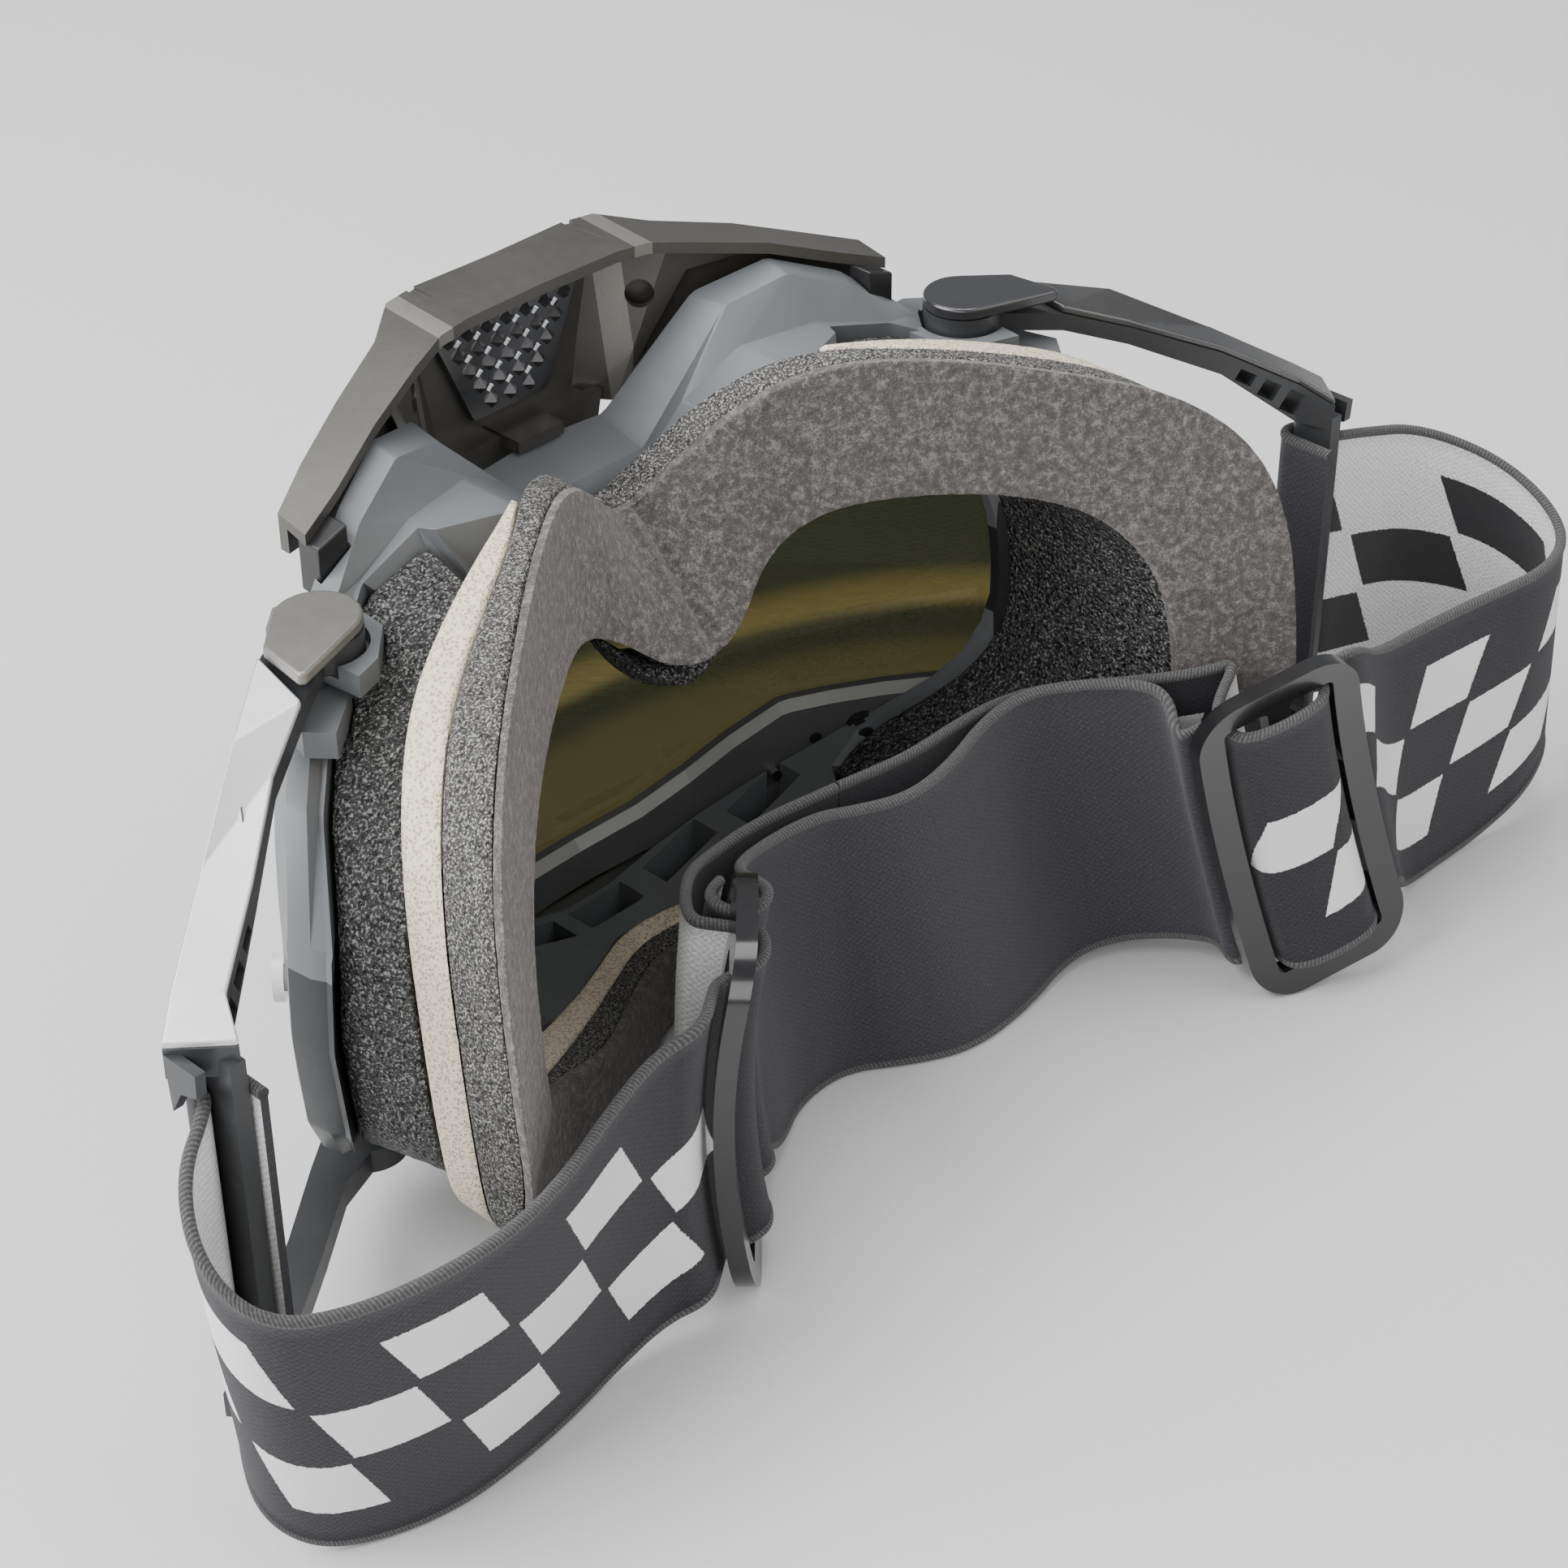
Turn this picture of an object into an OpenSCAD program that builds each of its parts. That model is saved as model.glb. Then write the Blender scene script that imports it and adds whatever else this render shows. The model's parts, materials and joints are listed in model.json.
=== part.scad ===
// Motocross goggles, standing on the brow as they lie on a table.
// X runs across the face, +Y is the lens side, +Z points to the nose side.
// The origin is the middle of the brow rest, on the plane of symmetry.

/* [Lens] */
// Outer radius of the cylindrical lens
lens_r = 94; // [90:1:100]
// Sheet thickness of the lens
lens_t = 1.2; // [0.8:0.1:1.5]
// Head radius of a tear-off post
post_head_r = 3; // [2.5:0.1:3.2]
// Head height of a tear-off post
post_head_h = 1.4; // [1:0.1:2]
// Neck radius of a tear-off post
post_neck_r = 1.7; // [1.2:0.1:1.9]
// Neck height of a tear-off post in front of the lens
post_neck_h = 2; // [1.8:0.1:2.6]
// Height of a tear-off post above the brow rest
post_z = 49; // [44:0.5:54]

/* [Lens carrier] */
// Depth of the inner lens carrier behind the lens
carrier_d = 4; // [3:0.1:4.4]
// Width of the carrier lip round the clear opening
carrier_lip = 3.5; // [3:0.1:4.5]
// Head radius of a carrier snap
snap_r = 1.2; // [1:0.1:1.4]
// Height of a carrier snap head
snap_h = 1.2; // [0.8:0.1:1.6]

/* [Frame] */
// Width of the front lip that holds the lens
lip_w = 3; // [2.5:0.1:3.4]
// Thickness of the front lip
lip_t = 1.6; // [1.2:0.1:1.7]
// Depth of the frame wall at the temples, from the lens face back
band_d = 7.4; // [7:0.1:8]
// Length of a brow vent window
window_l = 10.5; // [8:0.5:12]
// Width of a brow vent window
window_w = 5; // [4:0.5:5.5]
// Spacing of the brow vent windows
window_pitch = 14; // [13.5:0.5:16]

/* [Face foam] */
// Thickness of the foam stack at the temples
foam_t = 17.5; // [16:0.5:19]
// Thickness of the foam stack at the nose
foam_nose_t = 7; // [6:0.5:8]
// Thickness of the foam stack at the middle of the brow
foam_brow_t = 9; // [8:0.5:10]
// Share of the stack at the temples that the grey foam takes
grey_share = 0.6; // [0.5:0.05:0.7]
// Thickness of the fleece face
fleece_t = 1.6; // [1:0.1:2.5]
// Thickness of the filter foam inside the brow
brow_filter_t = 2.6; // [2:0.1:3]

/* [Nose guard] */
// Wall of the guard
guard_wall = 1.6; // [1.2:0.1:1.8]
// Radius of the small hole in each guard cheek
cheek_hole_r = 2; // [1.2:0.1:2.4]
// Thickness of the mesh plate
mesh_t = 1.2; // [0.8:0.1:1.6]
// Spacing of the studs on the mesh plate
stud_pitch = 3.4; // [3.2:0.1:4]
// Height of the studs on the mesh plate
stud_h = 1.1; // [0.6:0.1:1.6]

/* [Outriggers] */
// Distance of an outrigger pivot from the plane of symmetry
pivot_x = 57; // [56.5:0.1:57.5]
// Radius of the outrigger root
root_r = 5.4; // [5:0.1:5.6]
// Thickness of the outrigger root and arms
root_t = 3.6; // [3:0.1:3.8]
// Radius of the pivot pins
pin_r = 1.6; // [1.3:0.1:1.9]
// Radial clearance of a pivot pin in the outrigger root
pin_gap = 0.08; // [0.04:0.01:0.1]
// Thickness of the outrigger cap
cap_t = 1.8; // [1.4:0.1:2.2]
// Thickness of the cover on the upper arm
cover_t = 1; // [0.8:0.1:1.4]
// Depth of the strap post, front to back
post_depth = 7; // [6:0.1:8]
// Thickness of the strap post
post_t = 2.2; // [2:0.1:2.6]

/* [Strap] */
// Width of the strap
strap_w = 45; // [40:1:45]
// Thickness of the strap
strap_t = 1.6; // [1.2:0.1:1.8]

/* [Sliders] */
// Width of a slider along the strap
slider_w = 25; // [24:0.5:27]
// Clear height inside a slider beyond the strap width
slider_play = 1.2; // [1:0.1:2]
// Thickness of a slider
slider_t = 2.6; // [2:0.1:2.8]
// Width of the bars of a slider
slider_bar = 4; // [3:0.1:4.2]
// Radius of the bow of a slider
slider_bow_r = 120; // [110:1:160]

/* [Hidden] */
$fn = 48;
soft_gap = 0.3;
touch = 0.02;
// The front of the lens lies this far ahead of the face line, and the brow rest this far
lens_y = 22;
datum_y = 18;
above_all = 120;

// Half outlines, from the middle of the nose side round the temple to the middle of the brow: [x, z]
foam_out = [[0, 78], [6.5, 83.5], [14, 91], [24, 96], [36, 95.5], [48, 92.5], [60, 88.5], [68, 80.5],
            [71.5, 69], [72.2, 54], [72, 40], [70, 28], [57, 17], [40, 9], [18, 3], [0, 1.5]];
foam_in = [[0, 62], [7, 64], [13, 70], [22, 75.5], [32, 76.5], [42, 75.5], [50, 72.5], [55.5, 67],
           [58.5, 60], [59.5, 51], [59.5, 42], [56, 33], [46, 26.5], [33, 21], [16, 15.5], [0, 10.5]];
vent_out = [[0, 70], [7, 76], [14, 85], [24, 89], [36, 90.5], [46, 88.5], [55, 81.8], [66, 76.5],
            [71, 67], [72, 54], [71.8, 40], [69, 30.5], [55.5, 20], [38.5, 12], [16, 5], [0, 4]];
lens_out = [[0, 74.5], [9, 76], [19, 87], [31, 89.5], [41, 88], [50, 84], [59.5, 79], [69, 72],
            [75, 62], [75.5, 50], [74, 38], [65, 27], [50, 18.5], [34, 12], [15, 6.5], [0, 5]];
// The frame's lines add their place ahead of the lens face: [x, z, y]
ridge = [[0, 82.4, 1.5], [11, 83, 0], [24.7, 97.3, -1], [34.5, 100.2, -2], [44, 96.4, -2], [52, 90, -1],
         [61, 85.3, -1], [71.5, 77, -1], [77.6, 64, -1], [78.4, 50, -1], [77.4, 36, -1], [70.5, 24, -1],
         [58, 14.5, -1], [40, 6, -1], [14, 0, -1], [0, 0, -1]];
ridge_rear = [[0, 79.8, -7.3], [11.8, 80.2, -6.9], [25.2, 96.9, -6.4], [34.4, 99.3, -6.2],
              [43.5, 95.4, -5.5], [51.5, 89.4, -5], [60.5, 84.8, -4.8], [71, 76.6, -4.6],
              [77.2, 63.8, -4.6], [78.1, 50, -4.6], [77, 36.2, -4.6], [70.2, 24.4, -4.6], [57.8, 14.8, -4.6],
              [39.8, 6.2, -4.6], [14, 0, -4.6], [0, 0, -4.6]];
shelf = [[0, 76, -9], [8, 78, -9.5], [15.5, 87, -10], [24.5, 92.5, -10], [36, 92.8, -9], [47, 89.8, -6.6],
         [58, 84.8, -6.4], [69.5, 75.8, -6.4], [76.3, 63.5, -6.4], [77.2, 50, -6.4], [76, 36.5, -6.4],
         [69.5, 25.3, -6.4], [57, 15.8, -6.4], [39.2, 7, -6.4], [14, 0.6, -6.4], [0, 0.6, -6.4]];

function flip(p) = [for (i = [0:len(p) - 1]) i == 0 ? -p[0] : p[i]];
function whole(h) = concat(h, [for (i = [len(h) - 2:-1:1]) flip(h[i])]);
function wrap(p, i) = p[(i + len(p)) % len(p)];
// Two points on each edge of a closed line round its corners off
function round_off(p) = [for (i = [0:len(p) - 1]) each
    [p[i] * 0.75 + wrap(p, i + 1) * 0.25, p[i] * 0.25 + wrap(p, i + 1) * 0.75]];
// Two points near the ends of each edge keep the corners
function keep(p) = [for (i = [0:len(p) - 1]) each [p[i] * 0.96 + wrap(p, i + 1) * 0.04,
    p[i] * 0.04 + wrap(p, i + 1) * 0.96]];
// One pass of corner cutting on an open line, which keeps its ends
function soften(p) = concat([p[0]], [for (i = [0:len(p) - 2]) each
    [p[i] * 0.75 + p[i + 1] * 0.25, p[i] * 0.25 + p[i + 1] * 0.75]], [p[len(p) - 1]]);
function unit(v) = v / norm(v);
// A closed line moved outwards by d
function grow(p, d) = [for (i = [0:len(p) - 1])
    let (t = unit(wrap(p, i + 1) - wrap(p, i - 1))) [p[i][0], p[i][1]] + d * [-t[1], t[0]]];
function ease(t) = let (u = min(1, max(0, t))) u * u * (3 - 2 * u);

function lens_at(x) = lens_y - lens_r + sqrt(lens_r * lens_r - x * x);
// The back of the lens, and the seat of the carrier behind it
function lens_back(x) = lens_y - lens_r + sqrt(pow(lens_r - lens_t, 2) - x * x);
lens_gap = 0.2;
carrier_gap = 0.06;
function carrier_back(x) = lens_back(x) - carrier_gap - carrier_d;
function seat_at(x) = carrier_back(x) - 0.15;
plan_x = 76;
function plan(x) = lens_at(min(abs(x), plan_x));
// The face line falls away from the nose to the temples, and folds in over the nose
function base_at(x, z) = 2.5 - 0.7 * (sqrt(x * x + 9) - 3) - 0.0011 * x * x + 0.1 * (z - 50);
// and it is drawn forward at the corners of the brow
nose_roll = 13;
brow_relief = 7;
function face_at(x, z) = base_at(x, z)
    - nose_roll * min(1, max(0, 1.08 - abs(x) / 21)) * ease((80 - z) / 18) * (z > 45 ? 1 : 0)
    + brow_relief * ease((abs(x) - 28) / 20) * ease((42 - z) / 20);
function stack(x, z) = z > 45 ? foam_nose_t + (foam_t - foam_nose_t) * ease((abs(x) - 20) / 46)
                     : foam_t - (foam_t - foam_brow_t) * (1 - ease((abs(x) - 10) / 55));
function stack_front(x, z) = base_at(x, z) + stack(x, z);
function beige_share(x, z) = (1 - grey_share) * (z > 45 ? ease((abs(x) - 22) / 14) : 1);
function grey_front(x, z) = base_at(x, z) + stack(x, z) * (1 - beige_share(x, z));
// The frame reaches the foam at the nose and brow, and is a narrow band at the temples
frame_gap = 0.3;
function frame_rear(x, z) = let (t = ease((abs(x) - 31) / 8))
    (stack_front(x, z) + frame_gap) * (1 - t) + (plan(x) - band_d) * t;

// A closed wall from loops of points that run round it. Layers that lie on each other take turned
// and unturned diagonals by turns, so that their faces match.
module ring(loops, turned = false) {
    n = len(loops[0]);
    m = len(loops);
    polyhedron(points = [for (l = loops) each l],
        faces = [for (j = [0:m - 1]) for (i = [0:n - 1])
            let (a = j * n + i, b = j * n + (i + 1) % n, e = (j + 1) % m * n, c = e + (i + 1) % n, d = e + i)
            each turned ? [[a, b, d], [b, c, d]] : [[a, b, c], [a, c, d]]], convexity = 10);
}

// Faces across the end of a bar, between the points that lie opposite each other
function cap(n, from, turned) = [for (i = [0:n / 2 - 2])
    let (a = from + i, b = from + i + 1, c = from + n - 2 - i, d = from + n - 1 - i)
    each turned ? [[a, c, b], [a, d, c]] : [[a, b, c], [a, c, d]]];

// A solid bar from sections of points, capped at both ends
module bar(sections, turned = false) {
    n = len(sections[0]);
    m = len(sections);
    polyhedron(points = [for (s = sections) each s],
        faces = concat([for (j = [0:m - 2]) for (i = [0:n - 1])
            let (a = j * n + i, b = j * n + (i + 1) % n, c = (j + 1) * n + (i + 1) % n, d = (j + 1) * n + i)
            each turned ? [[a, d, b], [b, d, c]] : [[a, c, b], [a, d, c]]],
            cap(n, 0, false), cap(n, (m - 1) * n, true)), convexity = 10);
}

module place() {
    translate([0, -datum_y, 0]) children();
}

module pair() {
    children();
    mirror([1, 0, 0]) children();
}

// A plate whose outline lies in x and z, from y0 back by depth
module plate(outline, y0, depth) {
    translate([0, y0, 0]) rotate([90, 0, 0]) linear_extrude(depth) polygon(outline);
}

function at_lens(p, dy) = [for (q = p) [q[0], lens_at(q[0]) + dy, q[1]]];
function at_back(p, dy) = [for (q = p) [q[0], lens_back(q[0]) + dy, q[1]]];
function at_seat(p) = [for (q = p) [q[0], seat_at(q[0]), q[1]]];
function at_plan(p) = [for (q = p) [q[0], plan(q[0]) + q[2], q[1]]];

lens_edge = round_off(whole(lens_out));
foam_edge = round_off(whole(foam_out));
eye_edge = round_off(whole(foam_in));
vent_edge = round_off(whole(vent_out));

// Frame, with its valley, ridges, shelf, rear flange and lens rebate
ridge_line = keep(whole(ridge));
flange = grow(eye_edge, 1);
rebate = grow(lens_edge, 0.15);
root_top = 90.4;
low_root_z = 10.4;
pivot_y = -2;
recess_gap = 0.6;
pin_sink = 4.4;
clip_x = 46;
clip_w = 4.6;
clip_y = 9;
clip_d = 4;
clip_bottom = 88;
clip_gap = 0.25;

function brow_z(x) = lookup(abs(x), [for (k = [len(ridge) - 2:-1:11]) [ridge[k][0], ridge[k][1]]]);
filter_x = 34;
filter_rise = 2.4;
seat_wall = 1.2;
function filter_section(x, grow_by, back) = let (y = seat_at(x) - seat_wall, z = brow_z(x) + filter_rise)
    [[x, y + grow_by, z - grow_by], [x, y + grow_by, z + brow_filter_t + grow_by],
     [x, back, z + brow_filter_t + grow_by], [x, back, z - grow_by]];
filter_steps = [-filter_x:8.5:filter_x];

module brow_windows() {
    for (i = [-2:2]) {
        x = i * window_pitch;
        y = seat_at(x) - seat_wall - window_w;
        translate([x - window_l / 2, y, -1]) cube([window_l, window_w, 25]);
    }
}

module pivot_at(z) {
    translate([pivot_x, pivot_y, z]) children();
}

// The seat round an upper pivot, and the block under its arm, in plan
pivot_seat = [[48.8, 7.6], [49.4, -4.5], [54.5, -9.6], [58.6, -11], [59.4, -4], [59.6, 4.8], [56, 8]];
seat_z = [85.1, 88.2];
arm_block = [[58.5, -2], [57.6, -8], [64.6, -13.6], [67.2, -10.6], [65.4, -4]];
block_z = [80.8, 84.4];

module upright(outline, z) {
    translate([0, 0, z[0]]) linear_extrude(z[1] - z[0]) polygon(outline);
}

module frame() color("slategray") place() difference() {
    frame_body();
    brow_windows();
    bar([for (x = filter_steps) filter_section(x, 0.15, -30)]);
    pair() {
        pivot_at(root_top - root_t - 0.4) cylinder(r = root_r + recess_gap, h = 20);
        pivot_at(0) cylinder(r = root_r + recess_gap, h = low_root_z + root_t + 0.4);
        pivot_at(root_top - root_t - pin_sink) cylinder(r = pin_r, h = 20);
        pivot_at(0) cylinder(r = pin_r, h = low_root_z + root_t + pin_sink);
        translate([clip_x - clip_gap, clip_y - clip_d - clip_gap, clip_bottom - clip_gap])
            cube([clip_w + 2 * clip_gap, clip_d + 2 * clip_gap, 20]);
    }
}

module frame_body() {
    ring([at_lens(grow(lens_edge, -lip_w), lip_t + lens_gap), at_lens(grow(lens_edge, 0.8), lip_t + 0.5),
          at_plan(ridge_line), at_plan(keep(whole(ridge_rear))), at_plan(keep(whole(shelf))),
          [for (q = keep(whole(shelf))) [q[0], frame_rear(q[0], q[1]), q[1]]],
          [for (q = flange) [q[0], frame_rear(q[0], q[1]), q[1]]],
          at_seat(flange), at_seat(rebate), at_lens(rebate, lens_gap),
          at_lens(grow(lens_edge, -lip_w), lens_gap)]);
    pair() {
        upright(pivot_seat, seat_z);
        upright(arm_block, block_z);
    }
}

// Carrier behind the lens, with a bevelled inner lip
module lens_carrier() color("dimgray") place() difference() {
    outer = grow(lens_edge, -0.15);
    inner = grow(lens_edge, -carrier_lip);
    back = -carrier_gap - carrier_d;
    ring([at_back(inner, -carrier_gap), at_back(outer, -carrier_gap), at_back(outer, back),
          at_back(grow(inner, -0.6), back), at_back(grow(inner, -0.6), -carrier_gap - 1)]);
    pair() for (k = snap_keys) snap_at(k) translate([0, 0, -carrier_lip - 2])
        cylinder(r = snap_r * 0.5 + touch, h = snap_pin + 1.5);
}

// A snap stands square on a straight stretch of the carrier, between two corners of the outline
snap_keys = [5, 12];
snap_pin = 2.4;
module snap_at(k) {
    a = lens_out[k];
    b = lens_out[k + 1];
    mid = (a + b) / 2;
    turn = atan2(b[1] - a[1], b[0] - a[0]);
    y = lens_back(mid[0] + carrier_lip * sin(turn)) - carrier_gap - carrier_d * 0.4;
    translate([mid[0], y, mid[1]]) rotate([0, -turn, 0]) children();
}

module carrier_snaps() color("black") place() {
    seat = -carrier_lip - 0.6;
    pair() for (k = snap_keys) snap_at(k) {
        translate([0, 0, seat - snap_h - 0.1]) cylinder(r = snap_r, h = snap_h);
        translate([0, 0, seat - 0.2]) cylinder(r = snap_r * 0.5, h = snap_pin);
    }
}

// Posts stand square on the lens near its ends
post_x = 69.4;
module post_at() {
    translate([0, lens_y - lens_r, post_z]) rotate([0, 0, -asin(post_x / lens_r)])
        translate([0, lens_r, 0]) rotate([-90, 0, 0]) children();
}

module lens() color("olive") place() difference() {
    intersection() {
        translate([0, lens_y - lens_r, 0]) difference() {
            cylinder(r = lens_r, h = above_all, $fn = 180);
            translate([0, 0, -1]) cylinder(r = lens_r - lens_t, h = above_all + 2, $fn = 180);
        }
        plate(lens_edge, lens_y + 5, 60);
    }
    pair() post_at() translate([0, 0, -5]) cylinder(r = post_neck_r + touch, h = 10);
}

module tear_off_posts() color("lightgray") place() pair() post_at() {
    translate([0, 0, post_neck_h]) cylinder(r = post_head_r, h = post_head_h);
    translate([0, 0, -lens_t - 0.5]) cylinder(r = post_neck_r, h = post_neck_h + lens_t + 0.6);
    translate([0, 0, -lens_t - 0.9]) cylinder(r = post_neck_r + 0.7, h = 0.8);
}

// Foam stack
function at_face(p, d) = [for (q = p) [q[0], face_at(q[0], q[1]) + d, q[1]]];
function at_grey(p, d) = [for (q = p) [q[0], grey_front(q[0], q[1]) + d, q[1]]];
function at_stack(p, d) = [for (q = p) [q[0], stack_front(q[0], q[1]) + d, q[1]]];

module face_fleece() color("rosybrown") place()
    ring([at_face(eye_edge, fleece_t), at_face(foam_edge, fleece_t), at_face(foam_edge, 0),
          at_face(eye_edge, 0)]);

module foam_grey() color("gray") place()
    ring([at_grey(eye_edge, -soft_gap), at_grey(foam_edge, -soft_gap), at_face(foam_edge, fleece_t + touch),
          at_face(eye_edge, fleece_t + touch)], true);

beige_from = 6;
module foam_beige() color("tan") place() {
    n = len(foam_edge);
    front = at_stack(foam_edge, -soft_gap - touch);
    front_in = at_stack(eye_edge, -soft_gap - touch);
    rear = at_grey(foam_edge, touch - soft_gap);
    rear_in = at_grey(eye_edge, touch - soft_gap);
    bar([for (i = [beige_from:n - 1 - beige_from]) [rear[i], rear_in[i], front_in[i], front[i]]]);
}

// The vent foam stands on the rear band of the frame, between its outer and inner lines
vent_from = 8;
vent_to = 25;
vent_share = 0.9;
vent_gap = 0.5;
function rear_point(i, share) = let (a = keep(whole(shelf))[i], b = flange[i])
    [a[0], frame_rear(a[0], a[1]), a[1]] * share + [b[0], frame_rear(b[0], b[1]), b[1]] * (1 - share)
    - [0, vent_gap, 0];
module vent_foam(turned) difference() {
    inner = grow(eye_edge, 1.2);
    bar([for (i = [vent_from:vent_to]) let (a = vent_edge[i], b = inner[i])
        [[a[0], stack_front(a[0], a[1]), a[1]], [b[0], stack_front(b[0], b[1]), b[1]],
         rear_point(i, 0.02), rear_point(i, vent_share)]], turned);
    foam_notch(pivot_seat, seat_z[0]);
    foam_notch(arm_block, block_z[0]);
}

module foam_notch(outline, z) {
    translate([0, 0, z - soft_gap]) linear_extrude(20) offset(delta = soft_gap) polygon(outline);
}

module vent_foam_right() color("black") place() vent_foam(true);

module vent_foam_left() color("black") place() mirror([1, 0, 0]) vent_foam(false);

module vent_foam_brow() color("black") place()
    bar([for (x = filter_steps) filter_section(x, 0, frame_rear(x, brow_z(x) + filter_rise) + 0.2)]);

// Pad under the fold of the nose foam, an oval that thins to its ends
pad_x = 11;
pad_back = 7.4;
pad_deep = 5.4;
pad_high = 2.6;
module nose_pad() color("black") place()
    bar([for (x = [-pad_x:pad_x / 5:pad_x]) let (s = 0.15 + 0.85 * sqrt(max(0, 1 - pow(x / (pad_x + 0.5), 2))),
        z = lookup(abs(x), [for (k = [0:2]) foam_in[k]]), y = face_at(x, z))
        [for (a = [0:45:315]) [x, y + pad_back + pad_deep * s * cos(a),
            z - 3 * soft_gap - pad_high * s * (1 - sin(a))]]]);

// Nose guard: a band over the ridges with a wall in front: [x, y rear, y front, z rear, z front, z low]
guard = [[0, 20.3, 30, 106.4, 107.3, 82.5], [13, 19.5, 30, 106.7, 107.5, 82],
         [18, 18.9, 29.4, 106.4, 107.2, 80],
         [24, 17, 24.8, 105, 105.6, 83.5], [34.5, 12.8, 19.9, 102.6, 103.2, 88],
         [44, 9, 15.7, 99.1, 99.9, 90.5], [51, 6.8, 11.8, 96.6, 97.6, 92.6]];
guard_stations = concat([for (i = [len(guard) - 1:-1:1]) flip(guard[i])], guard);
mesh_y = guard[0][2] - guard_wall - touch;
mesh_outline = [[-6.5, 86.5], [6.5, 86.5], [13, 101.5], [9, 104.8], [-9, 104.8], [-13, 101.5]];
mesh_middle = [0, 96];

module guard_shell() {
    w = guard_wall;
    bar([for (g = guard_stations) [[g[0], g[1], g[3] - w], [g[0], g[2] - w, g[4] - w],
        [g[0], g[2] - w, g[5]], [g[0], g[2], g[5]], [g[0], g[2], g[4]], [g[0], g[1], g[3]]]]);
}

// A cheek runs from the mesh back to the ridge of the frame and on under the wing:
// [x, y, z of its foot, x, y, z of its top]
cheek = [[11.5, 28.6, 82.6, 16, 28.2, 105.6], [16.2, 24.3, 81.8, 23.4, 20.4, 104.4],
         [25.5, 19.6, 99.6, 26.5, 18.6, 103.6], [34.5, 15.4, 100.8, 34.5, 15, 101.8]];
cheek_hole = [19.9, 22.9, 97];
groove = [13.6, 18, 108];
groove_w = 1.3;
skirt_x = 14.2;
skirt_y = 26.4;
skirt_z = [79.6, 84.2];
ledge_x = 12;
ledge_t = 1.4;
hook = [8, 8.2, 1.8];

module guard_cheek() {
    out = [0.7, 0.7, 0] * guard_wall * 0.8;
    bar([for (k = cheek) let (foot = [k[0], k[1], k[2]], top = [k[3], k[4], k[5]])
        [foot, foot + out, top + out, top]]);
}

// The skirt closes the gap between the mesh and the valley of the frame, with the hook above it
module guard_skirt() {
    low = skirt_z[0];
    high = skirt_z[1];
    plate([[-skirt_x, high], [skirt_x, high], [skirt_x - 1, low], [1 - skirt_x, low]], skirt_y, guard_wall);
    plate([[-ledge_x, high], [ledge_x, high], [ledge_x, high - ledge_t], [-ledge_x, high - ledge_t]],
        mesh_y + guard_wall * 0.5, mesh_y - skirt_y + guard_wall);
    translate([-hook[0] / 2, ridge[0][2] + lens_y - 2, ridge[0][1] + soft_gap]) cube(hook);
}

module nose_guard() color("dimgray") place() difference() {
    union() {
        guard_shell();
        pair() guard_cheek();
        guard_skirt();
    }
    plate([for (q = mesh_outline) mesh_middle + (q - mesh_middle) * 0.8], above_all, above_all);
    plate([for (q = mesh_outline) mesh_middle + (q - mesh_middle) * 1.02], mesh_y + touch, mesh_t + 1);
    pair() translate(cheek_hole) rotate([90, 0, -45]) cylinder(r = cheek_hole_r, h = 3, center = true);
    pair() translate(groove) rotate([0, 8, 0]) cube([groove_w, 30, 2], center = true);
}

// Pointed studs stand between the holes of the mesh plate
module guard_mesh() color("black") place() {
    difference() {
        plate(mesh_outline, mesh_y, mesh_t);
        stud_grid() rotate([90, 0, 0]) translate([0, stud_pitch * 0.5, 0])
            linear_extrude(20, center = true) circle(r = stud_pitch * 0.22, $fn = 4);
    }
    stud_grid() rotate([90, 0, 0]) translate([0, 0, -0.1])
        cylinder(r1 = stud_pitch * 0.4, r2 = 0.2, h = stud_h + 0.1, $fn = 4);
}

function in_mesh(x, z) = abs(x) < min(11.2, 5.5 + (z - 88) * 0.55) && z < 102.6;
module stud_grid() {
    for (j = [0:5]) for (i = [-4:4]) {
        x = (i + (j % 2) / 2) * stud_pitch;
        z = 88.6 + j * stud_pitch * 0.8;
        if (in_mesh(x, z)) translate([x, mesh_y - mesh_t, z]) children();
    }
}

// Clips hang from the wings of the guard in slots of the frame
module guard_clips() color("black") place() pair() {
    slope = (guard[6][3] - guard[5][3]) / (guard[6][0] - guard[5][0]);
    top = guard[5][3] - guard_wall - touch + slope * (clip_x - guard[5][0]);
    plate([[clip_x, clip_bottom], [clip_x + clip_w, clip_bottom], [clip_x + clip_w, top + slope * clip_w],
           [clip_x, top]], clip_y, clip_d);
}

// Outriggers: an upper and a lower arm on one pivot line, joined by the strap post
strap_low = 19.8;
post_mid = [99.2, -33];
post_low = strap_low - 4.8;
post_high = strap_low + strap_w + 4.2;
// Upper arm: [outer x, outer y, outer z, inner x, inner y, inner z]
arm = [[60, 2.2, root_top, 60, -6.4, root_top], [66.5, -2.5, 91, 67.5, -11.5, 89.4],
       [77.6, -11.4, 88.6, 76, -16.4, 85.8], [90, -20, post_high + 12, 86.4, -25, post_high + 12],
       [100.4, -27, post_high + 5, 96.2, -31.6, post_high + 5.6],
       [104.2, -30, post_high + 2.2, 98.6, -36.4, post_high + 3]];
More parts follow.
